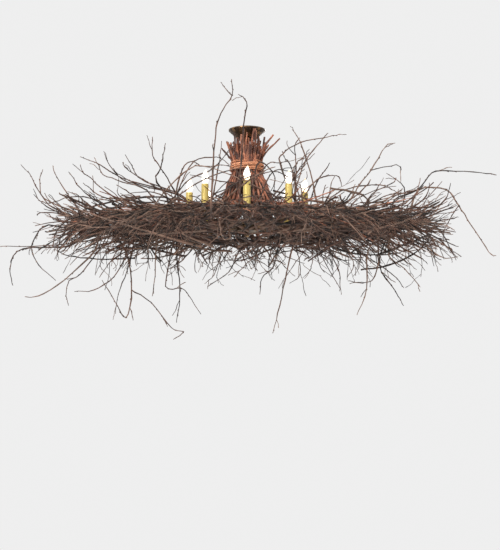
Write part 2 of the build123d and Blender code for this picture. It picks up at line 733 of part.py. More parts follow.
# Sprays: long stray twigs. Each has its depth at the root and at the tip, as shares of the deepest reach, and
# then its points, as shares of the longest reach and of the height above or below the nest.
sprays = (
    (-0.56, -1.00, ((-0.13, -0.13), (-0.12, 0.17), (-0.11, 0.42), (-0.09, 0.53), (-0.05, 0.62), (-0.05, 0.69))),
    (-0.92, -0.99, ((-0.06, 0.61), (-0.08, 0.65))),
    (-0.38, -0.66, ((-0.03, 0.01), (-0.02, 0.35), (-0.01, 0.61), (0.0, 0.76), (-0.03, 0.78))),
    (-0.07, -0.17, ((-0.27, 0.19), (-0.29, 0.28), (-0.34, 0.45), (-0.37, 0.55), (-0.37, 0.70))),
    (-0.07, -0.14, ((-0.32, 0.23), (-0.36, 0.36), (-0.34, 0.46), (-0.33, 0.56), (-0.32, 0.66))),
    (-0.05, -0.07, ((0.28, 0.16), (0.25, 0.45), (0.21, 0.72), (0.18, 0.82))),
    (-0.10, -0.12, ((0.18, 0.20), (0.13, 0.50), (0.14, 0.58), (0.21, 0.68), (0.32, 0.73), (0.37, 0.75))),
    (-0.10, -0.14, ((0.19, 0.22), (0.23, 0.51), (0.29, 0.68), (0.32, 0.75))),
    (0.00, 0.05, ((0.41, 0.22), (0.45, 0.36), (0.50, 0.50), (0.56, 0.72), (0.60, 0.76))),
    (0.02, 0.00, ((0.50, 0.48), (0.60, 0.54), (0.62, 0.49))),
    (0.00, -0.07, ((0.59, 0.22), (0.68, 0.30), (0.74, 0.45), (0.80, 0.46), (0.93, 0.44), (0.99, 0.41))),
    (0.00, 0.05, ((0.49, 0.21), (0.69, 0.31), (0.80, 0.32), (0.85, 0.18), (0.90, 0.01), (0.97, -0.23), (1.0, -0.26))),
    (0.02, 0.07, ((0.86, 0.16), (0.80, 0.0), (0.79, -0.09))),
    (0.00, -0.09, ((0.67, 0.02), (0.75, -0.03), (0.78, -0.14), (0.82, -0.35))),
    (0.00, 0.07, ((0.59, -0.20), (0.77, -0.27), (0.85, -0.26))),
    (0.00, -0.07, ((-0.65, -0.07), (-0.79, -0.01), (-0.84, -0.12), (-0.85, -0.24), (-0.82, -0.38), (-0.75, -0.52))),
    (0.00, 0.07, ((-0.71, -0.19), (-0.86, -0.20), (-0.91, -0.22), (-0.94, -0.28), (-0.95, -0.40), (-0.94, -0.52))),
    (0.00, -0.12, ((-0.69, -0.16), (-0.80, -0.21), (-0.97, -0.24))),
    (0.00, -0.07, ((-0.71, 0.08), (-0.79, 0.17), (-0.84, 0.33), (-0.87, 0.45))),
    (0.05, 0.07, ((-0.69, 0.13), (-0.82, 0.26), (-0.84, 0.43), (-0.83, 0.53))),
    (-0.05, 0.00, ((-0.58, 0.09), (-0.70, 0.21), (-0.76, 0.41), (-0.78, 0.53))),
    (0.00, -0.07, ((-0.55, -0.18), (-0.60, -0.23), (-0.72, -0.50), (-0.82, -0.65), (-0.87, -0.66))),
    (0.07, -0.05, ((-0.49, -0.20), (-0.46, -0.57), (-0.48, -0.82), (-0.52, -0.69), (-0.57, -0.51))),
    (0.02, -0.02, ((-0.46, -0.56), (-0.38, -0.69), (-0.30, -0.91), (-0.25, -0.95), (-0.29, -1.02))),
    (-0.05, -0.12, ((0.18, -0.23), (0.15, -0.52), (0.12, -0.81), (0.10, -0.99))),
    (0.07, 0.00, ((0.48, -0.20), (0.53, -0.34), (0.59, -0.58), (0.62, -0.72))),
    (0.00, 0.07, ((0.39, -0.17), (0.43, -0.21), (0.58, -0.42), (0.63, -0.54))),
    (-0.05, -0.07, ((0.48, -0.24), (0.47, -0.59), (0.43, -0.82))),
    (0.05, 0.02, ((0.57, -0.26), (0.63, -0.38), (0.69, -0.55))),
    (0.07, 0.00, ((0.29, -0.16), (0.30, -0.27), (0.37, -0.57))),
    (-0.07, -0.19, ((0.04, -0.17), (-0.03, -0.28), (-0.07, -0.47), (-0.15, -0.61))),
)
side_sprays = (1, 9, 12, 23)


def hoop_seat(x, y, above, thick):
    """The place on the nearer hoop, on top of it or under it, where a spray's butt is tied."""
    bearing = degrees(atan2(y, x))
    outer = oval_radius(outer_hoop_half_length, outer_hoop_half_depth, bearing)
    nearer = outer if abs(hypot(x, y) - outer) < abs(hypot(x, y) - inner_hoop_radius) else inner_hoop_radius
    over = 1 if above else -1
    return Vector(*polar(nearer, bearing, nest_level + over * (rod_dia / 2 + thick)))


def spray_path(number):
    """A spray's listed points, led off by a level stretch on its hoop, or by a point of the spray before it."""
    root_depth, tip_depth, shares = sprays[number]
    path = []
    for place, (along, height) in enumerate(shares):
        depth = root_depth + (tip_depth - root_depth) * place / (len(shares) - 1)
        path.append(
            Vector(along * spray_half_length, depth * spray_half_depth, nest_level + height * spray_height)
        )
    if number in side_sprays:
        root = min(spray_path(number - 1), key=lambda point: (point - path[0]).length)
        return [root] + path[1:]
    seat = hoop_seat(path[0].X, path[0].Y, shares[0][1] > 0, spray_dia / 2)
    if (path[0] - seat).dot(path[1] - path[0]) < 0:
        path = path[1:]
    heading = Vector(path[0].X - seat.X, path[0].Y - seat.Y, 0)
    if heading.length < 2 * spray_dia:
        heading = Vector(seat.X, seat.Y, 0)
    heading = heading.normalized()
    free = seat + heading * spray_free
    elbow = free + (heading + (path[0] - free).normalized()).normalized() * spray_elbow
    return [seat - heading * spray_grip, seat + heading * spray_hold, free, elbow] + path


def spray(number):
    """A stray twig tied to its hoop, or a side shoot that grows out of the one before it."""
    path = spray_path(number)
    thick = spray_dia / 2
    if number in side_sprays:
        return tapered_stick(path, taper(side_spray_share * thick, twig_tip_dia / 2, len(path)))
    return tapered_stick(path, [thick] * 2 + taper(thick, twig_tip_dia / 2, len(path) - 2))


spray_twigs = [spray(number) for number in range(len(sprays))]

# Writing out: sticks and twigs stay solids of their own, so they are gathered without being fused
pieces = {
    "canopy": canopy.part,
    "mounting_crossbar": mounting_crossbar.part,
    "ground_screw": ground_screw.part,
    "threaded_nipple": threaded_nipple.part,
    "crossbar_locknut": crossbar_locknut.part,
    "canopy_collar": canopy_collar.part,
    "stem_tube": stem_tube.part,
    "hub_body": hub_body.part,
    "hub_cover": hub_cover.part,
    "finial": finial.part,
    "arms": arms,
    "drip_cups": drip_cups.part,
    "socket_posts": socket_posts.part,
    "lampholder_bodies": lampholder_bodies.part,
    "lampholder_shells": lampholder_shells.part,
    "lampholder_contacts": lampholder_contacts.part,
    "stem_leads": stem_leads.part,
    "wire_connectors": wire_connectors.part,
    "lamp_leads": lamp_leads,
    "frame_hoops": frame_hoops.part,
    "frame_spokes": frame_spokes.part,
    "tie_band": tie_band.part,
    "neck_sticks": Compound(children=neck_sticks),
    "spray_twigs": Compound(children=spray_twigs),
}
for region, twigs in nest.items():
    pieces[region] = Compound(children=twigs)
for lamp in range(lamp_count):
    pieces[f"candle_cover_{lamp + 1}"] = candle_cover(lamp)
    for piece, shape in bulb_pieces.items():
        pieces[f"bulb_{lamp + 1}_{piece}"] = Location((*at_lamp(lamp), 0)) * shape

for name, piece in pieces.items():
    piece.label = name
    export_step(piece, f"parts/{name}.step")
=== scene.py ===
from math import atan2, cos, degrees, hypot, pi, radians, sin
from random import Random

import bmesh
import bpy
from mathutils import Matrix, Vector


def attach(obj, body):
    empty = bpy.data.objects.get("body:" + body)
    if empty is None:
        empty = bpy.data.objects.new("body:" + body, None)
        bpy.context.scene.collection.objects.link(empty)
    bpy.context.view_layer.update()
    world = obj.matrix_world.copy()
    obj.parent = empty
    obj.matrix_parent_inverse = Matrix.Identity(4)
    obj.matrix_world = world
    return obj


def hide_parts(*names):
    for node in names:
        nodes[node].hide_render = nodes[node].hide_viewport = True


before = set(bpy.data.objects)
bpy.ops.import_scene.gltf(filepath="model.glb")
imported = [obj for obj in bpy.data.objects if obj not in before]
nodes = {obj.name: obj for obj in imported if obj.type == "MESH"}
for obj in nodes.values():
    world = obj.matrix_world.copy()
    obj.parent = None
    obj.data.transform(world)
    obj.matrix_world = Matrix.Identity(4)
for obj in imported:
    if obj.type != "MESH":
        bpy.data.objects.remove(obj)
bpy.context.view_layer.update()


# Canopy: a spun steel cup against the ceiling. It is lacquered dark bronze and rubbed back by hand, so that
# warm metal shows in patches. The collar, stem, hub, arms and drip cups under it have the same finish.
def put(tree, kind, inputs=None, **settings):
    """A shader node with its sockets set or wired."""
    node = tree.nodes.new(kind)
    for name, value in settings.items():
        setattr(node, name, value)
    for socket, value in (inputs or {}).items():
        if isinstance(value, bpy.types.NodeSocket):
            tree.links.new(value, node.inputs[socket])
        else:
            node.inputs[socket].default_value = value
    return node


def effect(name, colours, amounts=()):
    """An empty shader group that takes named colours and amounts, and gives the three things of a surface."""
    tree = bpy.data.node_groups.new(name, "ShaderNodeTree")
    for socket in colours:
        tree.interface.new_socket(socket, in_out="INPUT", socket_type="NodeSocketColor")
    for socket in amounts:
        tree.interface.new_socket(socket, in_out="INPUT", socket_type="NodeSocketFloat")
    tree.interface.new_socket("Color", in_out="OUTPUT", socket_type="NodeSocketColor")
    tree.interface.new_socket("Roughness", in_out="OUTPUT", socket_type="NodeSocketFloat")
    tree.interface.new_socket("Height", in_out="OUTPUT", socket_type="NodeSocketFloat")
    return tree, tree.nodes.new("NodeGroupInput").outputs, tree.nodes.new("NodeGroupOutput")


def give(tree, out, colour, roughness, relief):
    """Wires the colour, the roughness and the relief of an effect to what it gives."""
    for socket, value in (("Color", colour), ("Roughness", roughness), ("Height", relief)):
        tree.links.new(value, out.inputs[socket])


def noise_at(tree, point, scale, detail=4.0):
    return put(tree, "ShaderNodeTexNoise", {"Vector": point, "Scale": scale, "Detail": detail}).outputs["Fac"]


def spread(tree, value, low, high, out_low=0.0, out_high=1.0):
    """A value stretched from one range to another, and held at its ends."""
    sockets = {"Value": value, "From Min": low, "From Max": high, "To Min": out_low, "To Max": out_high}
    return put(tree, "ShaderNodeMapRange", sockets).outputs["Result"]


def blend_colours(tree, share, first, second):
    return put(tree, "ShaderNodeMix", {0: share, 6: first, 7: second}, data_type="RGBA").outputs[2]


def combined(tree, operation, first, second):
    """Two values added or multiplied."""
    return put(tree, "ShaderNodeMath", {0: first, 1: second}, operation=operation).outputs["Value"]


def scaled_colour(tree, colour, factor):
    """A colour made darker or lighter."""
    sockets = {0: colour, "Scale": factor}
    return put(tree, "ShaderNodeVectorMath", sockets, operation="SCALE").outputs["Vector"]


def rubbed_finish():
    """Lacquer that is mottled, rubbed through in patches, and finely pitted."""
    tree, given, out = effect("rubbed_finish", ["Lacquer", "Rubbed"], ["Patch Size"])
    point = put(tree, "ShaderNodeTexCoord").outputs["Object"]
    patches = spread(tree, noise_at(tree, point, given["Patch Size"], 8.0), 0.50, 0.66)
    pits = noise_at(tree, point, 1400.0)
    mottle = spread(tree, noise_at(tree, point, 90.0), 0.35, 0.65, 0.65, 1.25)
    colour = blend_colours(tree, patches, given["Lacquer"], given["Rubbed"])
    give(tree, out, scaled_colour(tree, colour, mottle), spread(tree, patches, 0.0, 1.0, 0.48, 0.28), pits)
    return tree


def material_of(name, group, values, metallic=0.0, bump=0.2, bump_depth=0.0004):
    """A material whose colour, roughness and relief come from an effect."""
    material = bpy.data.materials.new(name)
    material.use_nodes = True
    tree = material.node_tree
    shader = tree.nodes["Principled BSDF"]
    shader.inputs["Metallic"].default_value = metallic
    look = put(tree, "ShaderNodeGroup", node_tree=group)
    for socket, value in values.items():
        look.inputs[socket].default_value = value
    relief = {"Height": look.outputs["Height"], "Strength": bump, "Distance": bump_depth}
    tree.links.new(look.outputs["Color"], shader.inputs["Base Color"])
    tree.links.new(look.outputs["Roughness"], shader.inputs["Roughness"])
    tree.links.new(put(tree, "ShaderNodeBump", relief).outputs["Normal"], shader.inputs["Normal"])
    return material


def coat(names, material):
    """Puts a finish on solids that keep their shape."""
    for name in names:
        nodes[name].data.materials.clear()
        nodes[name].data.materials.append(material)


rubbed = rubbed_finish()
bronze = material_of(
    "antique_bronze",
    rubbed,
    {"Lacquer": (0.075, 0.048, 0.030, 1), "Rubbed": (0.33, 0.19, 0.085, 1), "Patch Size": 55.0},
    metallic=0.75,
)
coat(["canopy", "canopy_collar", "stem_tube", "hub_body", "hub_cover", "finial", "arms", "drip_cups"], bronze)


# Crossbar, nipple, locknut and socket posts: zinc plated steel straight from the press and the lathe, with
# fine drawn lines. The ground screw in the bar is lacquered green.
def drawn_metal():
    """Plated metal with fine lines round it and a cloudy plating."""
    tree, given, out = effect("drawn_metal", ["Metal", "Cloud"], ["Base Roughness"])
    point = put(tree, "ShaderNodeTexCoord").outputs["Object"]
    flat = put(tree, "ShaderNodeMapping", {"Vector": point, "Scale": (60.0, 60.0, 2400.0)}).outputs["Vector"]
    lines = noise_at(tree, flat, 1.0)
    cloud = spread(tree, noise_at(tree, point, 140.0), 0.4, 0.62)
    rough = combined(tree, "ADD", given["Base Roughness"], spread(tree, lines, 0.3, 0.7, -0.08, 0.12))
    give(tree, out, blend_colours(tree, cloud, given["Metal"], given["Cloud"]), rough, lines)
    return tree


drawn = drawn_metal()
zinc = material_of(
    "zinc_steel",
    drawn,
    {"Metal": (0.56, 0.57, 0.57, 1), "Cloud": (0.44, 0.46, 0.48, 1), "Base Roughness": 0.34},
    metallic=1.0,
)
coat(["mounting_crossbar", "threaded_nipple", "crossbar_locknut", "socket_posts"], zinc)
green = material_of(
    "green_steel",
    rubbed,
    {"Lacquer": (0.03, 0.24, 0.07, 1), "Rubbed": (0.12, 0.36, 0.14, 1), "Patch Size": 300.0},
    metallic=0.2,
)
coat(["ground_screw"], green)

# Frame: an inner and an outer hoop of rod, carried on eight spokes. They are painted dark brown, to be lost
# among the twigs that lie on them and hang under them.
dark_rod = material_of(
    "dark_rod",
    rubbed,
    {"Lacquer": (0.045, 0.028, 0.019, 1), "Rubbed": (0.11, 0.07, 0.045, 1), "Patch Size": 40.0},
    metallic=0.1,
)
coat(["frame_hoops", "frame_spokes"], dark_rod)


# Lampholders: a black moulded body with a rolled brass screw shell and a brass contact. Leads in black
# insulation run up the posts to them, and orange connectors join the leads in the hub.
def moulded():
    """Moulded plastic: almost even in colour, with a fine spark-eroded skin."""
    tree, given, out = effect("moulded", ["Plastic", "Scuffed"], ["Base Roughness"])
    point = put(tree, "ShaderNodeTexCoord").outputs["Object"]
    scuffs = spread(tree, noise_at(tree, point, 210.0, 6.0), 0.52, 0.72, 0.0, 0.7)
    skin = noise_at(tree, point, 2600.0, 2.0)
    rough = combined(tree, "ADD", given["Base Roughness"], spread(tree, scuffs, 0.0, 0.7, 0.0, 0.18))
    give(tree, out, blend_colours(tree, scuffs, given["Plastic"], given["Scuffed"]), rough, skin)
    return tree


plastic = moulded()
holder_black = material_of(
    "holder_moulding",
    plastic,
    {"Plastic": (0.028, 0.025, 0.023, 1), "Scuffed": (0.07, 0.065, 0.06, 1), "Base Roughness": 0.42},
)
coat(["lampholder_bodies"], holder_black)
brass = material_of(
    "brass",
    drawn,
    {"Metal": (0.74, 0.54, 0.25, 1), "Cloud": (0.60, 0.41, 0.17, 1), "Base Roughness": 0.26},
    metallic=1.0,
)
coat(["lampholder_shells", "lampholder_contacts"], brass)
insulation = material_of(
    "lead_insulation",
    plastic,
    {"Plastic": (0.03, 0.03, 0.03, 1), "Scuffed": (0.06, 0.06, 0.06, 1), "Base Roughness": 0.38},
)
coat(["stem_leads", "lamp_leads"], insulation)
connector_orange = material_of(
    "connector_plastic",
    plastic,
    {"Plastic": (0.78, 0.24, 0.03, 1), "Scuffed": (0.85, 0.36, 0.10, 1), "Base Roughness": 0.40},
)
coat(["wire_connectors"], connector_orange)

# Candle covers: eight plain sleeves over the lampholders, golden like beeswax, with a soft gloss and faint
# streaks down their length. Sizes are in metres here and for the bulbs.
LAMP_COUNT = 8
LAMP_RING = 0.203
CANDLE_TOP = -0.228
FIRST_LAMP = -90.0
LAMP_STEP = 360.0 / LAMP_COUNT


def wax():
    """A golden sleeve: streaks run down it, and the colour deepens in soft clouds."""
    tree, given, out = effect("wax", ["Gold", "Deep"])
    point = put(tree, "ShaderNodeTexCoord").outputs["Object"]
    drawn_out = put(tree, "ShaderNodeMapping", {"Vector": point, "Scale": (420.0, 420.0, 16.0)})
    streaks = noise_at(tree, drawn_out.outputs["Vector"], 1.0, 5.0)
    clouds = spread(tree, noise_at(tree, point, 48.0), 0.36, 0.66)
    both = combined(tree, "MULTIPLY", clouds, spread(tree, streaks, 0.38, 0.66))
    colour = blend_colours(tree, both, given["Gold"], given["Deep"])
    give(tree, out, colour, spread(tree, streaks, 0.3, 0.7, 0.26, 0.42), streaks)
    return tree


gold = material_of(
    "gold_cover",
    wax(),
    {"Gold": (0.68, 0.51, 0.15, 1), "Deep": (0.50, 0.36, 0.08, 1)},
    metallic=0.15,
)
coat([f"candle_cover_{lamp + 1}" for lamp in range(LAMP_COUNT)], gold)


# Bulbs: flame-tip candelabra bulbs, lit. Each is a blown glass, frosted inside, whose drawn-out tip leans a
# little. It stands in a rolled brass screw base with a pin of metal up its middle.
def lit_glass():
    """Frosted glass with the light behind it: whitest round the filament, warmer at the neck and the tip."""
    material = bpy.data.materials.new("lamp_glass")
    material.use_nodes = True
    tree = material.node_tree
    shader = tree.nodes["Principled BSDF"]
    point = put(tree, "ShaderNodeTexCoord").outputs["Object"]
    height = put(tree, "ShaderNodeSeparateXYZ", {"Vector": point}).outputs["Z"]
    rise = spread(tree, height, CANDLE_TOP, CANDLE_TOP + 0.018)
    fall = spread(tree, height, CANDLE_TOP + 0.030, CANDLE_TOP + 0.052, 1.0, 0.0)
    middle = combined(tree, "MULTIPLY", rise, fall)
    grain = spread(tree, noise_at(tree, point, 700.0), 0.3, 0.7, 0.86, 1.0)
    glow = blend_colours(tree, middle, (1.0, 0.62, 0.27, 1), (1.0, 0.93, 0.80, 1))
    # The base colour is painted glow: whiter round the filament and warmer at the neck and the tip, besides
    # the emission.
    frosting_with_painted_glow = blend_colours(tree, middle, (0.95, 0.84, 0.66, 1), (1, 0.97, 0.92, 1))
    tree.links.new(scaled_colour(tree, glow, grain), shader.inputs["Emission Color"])
    tree.links.new(frosting_with_painted_glow, shader.inputs["Base Color"])
    shader.inputs["Emission Strength"].default_value = 2.6
    shader.inputs["Roughness"].default_value = 0.22
    shader.inputs["Coat Weight"].default_value = 0.3
    return material


glass_light = lit_glass()
# The glass's radius at each height from the candle cover's top
GLASS_PROFILE = (
    (0.0000, -0.0015), (0.0053, -0.0015), (0.0056, 0.0010), (0.0072, 0.0038), (0.0092, 0.0078),
    (0.0107, 0.0130), (0.0115, 0.0195), (0.0112, 0.0255), (0.0098, 0.0315), (0.0077, 0.0370),
    (0.0053, 0.0420), (0.0031, 0.0463), (0.0016, 0.0495), (0.0009, 0.0512), (0.0000, 0.0519),
)
STRAIGHT_HEIGHT = 0.029
LEANING_HEIGHT = 0.023
TIP_LEAN = 0.003


def blown_glass(name, lamp):
    """The envelope turned round its axis, its tip pushed over, and set on its lamp."""
    shape = bmesh.new()
    ring = [shape.verts.new((radius, 0, CANDLE_TOP + height)) for radius, height in GLASS_PROFILE]
    for low, high in zip(ring, ring[1:]):
        shape.edges.new((low, high))
    whole = shape.verts[:] + shape.edges[:]
    bmesh.ops.spin(shape, geom=whole, axis=(0, 0, 1), cent=(0, 0, 0), steps=24, angle=2 * pi, use_merge=True)
    bmesh.ops.remove_doubles(shape, verts=shape.verts, dist=0.00001)
    bmesh.ops.recalc_face_normals(shape, faces=shape.faces)
    for vert in shape.verts:
        share = max(0.0, (vert.co.z - CANDLE_TOP - STRAIGHT_HEIGHT) / LEANING_HEIGHT)
        vert.co.x += TIP_LEAN * share**1.5
    bearing = radians(FIRST_LAMP + lamp * LAMP_STEP)
    bmesh.ops.translate(shape, verts=shape.verts, vec=(LAMP_RING * cos(bearing), LAMP_RING * sin(bearing), 0))
    mesh = bpy.data.meshes.new(name)
    shape.to_mesh(mesh)
    shape.free()
    mesh.shade_smooth()
    mesh.materials.append(glass_light)
    piece = bpy.data.objects.new(name, mesh)
    bpy.context.scene.collection.objects.link(piece)
    return piece


for lamp in range(LAMP_COUNT):
    flame = blown_glass(f"flame_glass_{lamp + 1}", lamp)
    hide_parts(f"bulb_{lamp + 1}_glass")
    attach(flame, f"bulb_{lamp + 1}")
coat([f"bulb_{lamp + 1}_base" for lamp in range(LAMP_COUNT)], brass)
filament_metal = material_of(
    "filament_metal",
    drawn,
    {"Metal": (0.62, 0.60, 0.56, 1), "Cloud": (0.50, 0.48, 0.45, 1), "Base Roughness": 0.30},
    metallic=1.0,
)
coat([f"bulb_{lamp + 1}_filament" for lamp in range(LAMP_COUNT)], filament_metal)


# Sheaf: eighty cut sticks packed round the stem, butts up under the canopy. Below the tie they spread as a
# skirt and run out into the nest. Their bark is copper brown: partly its own red brown and partly painted
# warm light from the candle bulbs under it. Sizes from here on are in millimetres.
def bark():
    """Bark: fibres, lighter breathing pores, and patches dried paler. Each twig has a tone of its own."""
    tree, given, out = effect("bark", ["Dark", "Red", "Pale"])
    point = put(tree, "ShaderNodeTexCoord").outputs["Object"]
    red = spread(tree, noise_at(tree, point, 26.0, 5.0), 0.42, 0.62)
    pale = spread(tree, noise_at(tree, point, 75.0, 6.0), 0.56, 0.70, 0.0, 0.75)
    pores = spread(tree, noise_at(tree, point, 900.0, 2.0), 0.62, 0.72, 0.0, 0.6)
    fibres = noise_at(tree, point, 520.0, 6.0)
    tinted = blend_colours(tree, red, given["Dark"], given["Red"])
    dried = blend_colours(tree, pale, tinted, given["Pale"])
    spotted = blend_colours(tree, pores, dried, given["Pale"])
    tone = put(tree, "ShaderNodeAttribute", attribute_name="tone").outputs["Fac"]
    weathered = blend_colours(tree, spread(tree, tone, 0.65, 1.0, 0.0, 0.55), spotted, given["Pale"])
    shaded = scaled_colour(tree, weathered, spread(tree, tone, 0.0, 0.6, 0.3, 1.15))
    give(tree, out, shaded, spread(tree, fibres, 0.3, 0.7, 0.55, 0.85), fibres)
    return tree


bark_look = bark()
# Its dark, red and pale colours are partly the bark's own and partly painted warm light from the candle
# bulbs.
copper_bark = material_of(
    "copper_bark",
    bark_look,
    {"Dark": (0.085, 0.030, 0.020, 1), "Red": (0.36, 0.120, 0.060, 1), "Pale": (0.60, 0.25, 0.14, 1)},
    bump=0.5,
    bump_depth=0.0012,
)
dark_bark = material_of(
    "dark_twig",
    bark_look,
    {"Dark": (0.022, 0.013, 0.010, 1), "Red": (0.120, 0.052, 0.032, 1), "Pale": (0.27, 0.17, 0.12, 1)},
    bump=0.5,
    bump_depth=0.0010,
)

RING_COUNTS = (8, 16, 24, 32)
STEM_RADIUS = 10.5
HALF_STICK_GAP = 0.075
SKIRT_LEVEL = -265.0
SKIRT_RADIUS = 95.0
SKIRT_FOOT = LAMP_RING * 720.0
STICK_OVERHANG = 90.0
STICK_TIP = 1.5
NEST_LEVEL = -341.2
NEST_HALF_LENGTH = 770.0
NEST_HALF_DEPTH = 470.0
NEST_RISE = 135.0
NEST_TRIM = (715.0, 485.0)
NEAR_WOOD = 8.0
HOOP_ROD_RADIUS = 3.0
INNER_HOOP = 250.0
OUTER_HOOP = (540.0, 330.0)
TIE_LEVEL = -138.0
UNDER_CEILING = -7.0
MILLIMETRE = 0.001


def oval_reach(half_length, half_depth, bearing):
    """How far an oval reaches from its middle towards a bearing."""
    along = half_depth * cos(radians(bearing))
    across = half_length * sin(radians(bearing))
    return half_length * half_depth / hypot(along, across)


def nest_reach(bearing):
    return oval_reach(NEST_HALF_LENGTH, NEST_HALF_DEPTH, bearing)


def polar(radius, bearing, height):
    return Vector((radius * cos(radians(bearing)), radius * sin(radians(bearing)), height))


def up(height):
    return Vector((0, 0, height))


def swell(bearing):
    """How much the nest thickens towards a bearing."""
    return 0.38 + 0.62 * abs(cos(radians(bearing))) ** 1.5


def thinning(butt, tip, count):
    """The sizes of a twig that thins from its butt to its tip."""
    return [butt + (tip - butt) * (place / (count - 1)) ** 1.3 for place in range(count)]


def flowing(points, radii, steps, wobble, rng):
    """A crooked growing line through some points, with a swelling at each bud."""
    line, thick = [], []
    last = len(points) - 1
    for place in range(last):
        before, here = points[max(place - 1, 0)], points[place]
        there, after = points[place + 1], points[min(place + 2, last)]
        for step in range(steps):
            share = step / steps
            curved = 2 * here + (there - before) * share
            curved += (2 * before - 5 * here + 4 * there - after) * share**2
            curved += (3 * here - before - 3 * there + after) * share**3
            crook = Vector([rng.uniform(-wobble, wobble) for _ in range(3)]) if line else Vector()
            line.append(curved / 2 + crook)
            local = radii[place] + (radii[place + 1] - radii[place]) * share
            thick.append(local * rng.choice((0.9, 1.0, 1.0, 1.28)))
    return line + [points[-1]], thick + [radii[-1]]


def sideways(along, rng, lowest=-1.0, highest=1.0):
    """A direction drawn square to a twig."""
    toss = Vector((rng.uniform(-1, 1), rng.uniform(-1, 1), rng.uniform(lowest, highest)))
    return along.cross(toss).normalized()


def shoots_of(line, thick, count, reach, rng, order=1):
    """Side shoots that leave a twig at its buds, each bent back along it, with finer shoots of their own."""
    grown = []
    for _ in range(count):
        place = rng.randrange(int(len(line) * 0.3), len(line) - 1)
        along = (line[place + 1] - line[place]).normalized()
        side = sideways(along, rng, -0.6, 1.4)
        angle = radians(rng.uniform(18, 44))
        way = along * cos(angle) + side * sin(angle)
        length = reach * rng.uniform(0.4, 1.15)
        bent = (way + along * 0.5).normalized()
        swung = bent + side * rng.uniform(-0.3, 0.3)
        points = [line[place], line[place] + way * (0.35 * length)]
        points += [points[1] + bent * (0.35 * length), points[1] + swung * (0.62 * length)]
        butt = min(thick[place] * 0.75, 2.5)
        path, sizes = flowing(points, thinning(butt, 1.0, 4), 3, 0.8, rng)
        grown.append((path, sizes))
        if order:
            grown += shoots_of(path, sizes, rng.choice((0, 0, 1)), 0.6 * length, rng, order - 1)
    return grown


def buds_of(line, thick, share, rng):
    """Small buds that stand out of a twig where it bends."""
    grown = []
    for place in range(1, len(line) - 1):
        if rng.random() < share:
            along = (line[place + 1] - line[place]).normalized()
            side = sideways(along, rng)
            size = max(thick[place], 1.0)
            tip = line[place] + (along + 0.8 * side).normalized() * (3.0 + 1.6 * size)
            bud = [line[place] - along * size, (line[place] + tip) / 2, tip]
            grown.append((bud, [0.9 * size, 0.95 * size, 0.4]))
    return grown


def grown_twig(points, radii, wobble, bud_share, shoots, reach, rng, order=1):
    """A crooked twig with its buds, and as many side shoots as is drawn from some choices."""
    line, thick = flowing(points, radii, 4, wobble, rng)
    grown = [(line, thick)] + buds_of(line, thick, bud_share, rng)
    count = rng.choice(shoots) if len(shoots) > 1 else shoots[0]
    return grown + shoots_of(line, thick, count, reach, rng, order)


def clipped(twigs, rng):
    """A branch cut back by eye to the nest's oval. What grew on the piece that is cut off goes with it."""
    kept, wood = [], []
    trim = rng.uniform(0.90, 1.08)
    for path, sizes in twigs:
        outward = [hypot(at.x / NEST_TRIM[0], at.y / NEST_TRIM[1]) for at in path]
        held = [step for step, share in enumerate(outward) if share < trim]
        rooted = not wood or min((at - path[0]).length for at in wood) < NEAR_WOOD
        if len(held) > 2 and rooted:
            kept.append((path[held[0] : held[-1] + 1], sizes[held[0] : held[-1] + 1]))
            wood += kept[-1][0]
    return kept


LAMP_ROOM = 21.0
LAMP_ROOM_LEVELS = (-325.0, -160.0)
LAMP_ROOM_RING = (170.0, 236.0)


def beside_lamps(point):
    """A twig's point moved clear of the room that a candle cover and its bulb need when it unscrews."""
    low, high = LAMP_ROOM_LEVELS
    inner, outer = LAMP_ROOM_RING
    if not (low < point.z < high and inner < hypot(point.x, point.y) < outer):
        return point
    bearing = degrees(atan2(point.y, point.x))
    nearest = FIRST_LAMP + round((bearing - FIRST_LAMP) / LAMP_STEP) * LAMP_STEP
    axis = polar(LAMP_RING * 1000.0, nearest, point.z)
    away = point - axis
    return point if away.length >= LAMP_ROOM else axis + away.normalized() * LAMP_ROOM


def lay(name, twigs, finish, sides=1):
    """Round tapering twigs along their lines, as one piece in metres."""
    lines = bpy.data.curves.new(name + "_lines", "CURVE")
    lines.dimensions = "3D"
    lines.bevel_depth = MILLIMETRE
    lines.bevel_resolution = sides
    lines.use_fill_caps = True
    for path, sizes in twigs:
        spline = lines.splines.new("POLY")
        spline.points.add(len(path) - 1)
        for knot, point, size in zip(spline.points, path, sizes):
            place = beside_lamps(point)
            height = min(place.z, UNDER_CEILING)
            knot.co = (place.x * MILLIMETRE, place.y * MILLIMETRE, height * MILLIMETRE, 1)
            knot.radius = size
    holder = bpy.data.objects.new(name + "_lines", lines)
    mesh = bpy.data.meshes.new_from_object(holder)
    bpy.data.objects.remove(holder)
    bpy.data.curves.remove(lines)
    mesh.materials.clear()
    mesh.materials.append(finish)
    mesh.shade_smooth()
    # The mesh holds both end caps of every twig first, from the last twig to the first, and then their bark
    around = 4 + 2 * sides
    tone_draw = Random(len(twigs))
    tones = [tone_draw.random() for _ in twigs]
    on_ends = [tone for tone in reversed(tones) for _ in range(2 * around)]
    on_bark = [tone for tone, (path, _) in zip(tones, twigs) for _ in range(around * len(path))]
    mesh.attributes.new("tone", "FLOAT", "POINT").data.foreach_set("value", on_ends + on_bark)
    piece = bpy.data.objects.new(name, mesh)
    bpy.context.scene.collection.objects.link(piece)
    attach(piece, "root")
    return piece


def sheaf_rings():
    """The radius of each ring of the sheaf, and of the sticks in it."""
    inside = STEM_RADIUS
    rings = []
    for count in RING_COUNTS:
        ring = inside / (1 - sin(pi / count))
        rings.append((ring, ring - inside - HALF_STICK_GAP))
        inside = 2 * ring - inside
    return rings


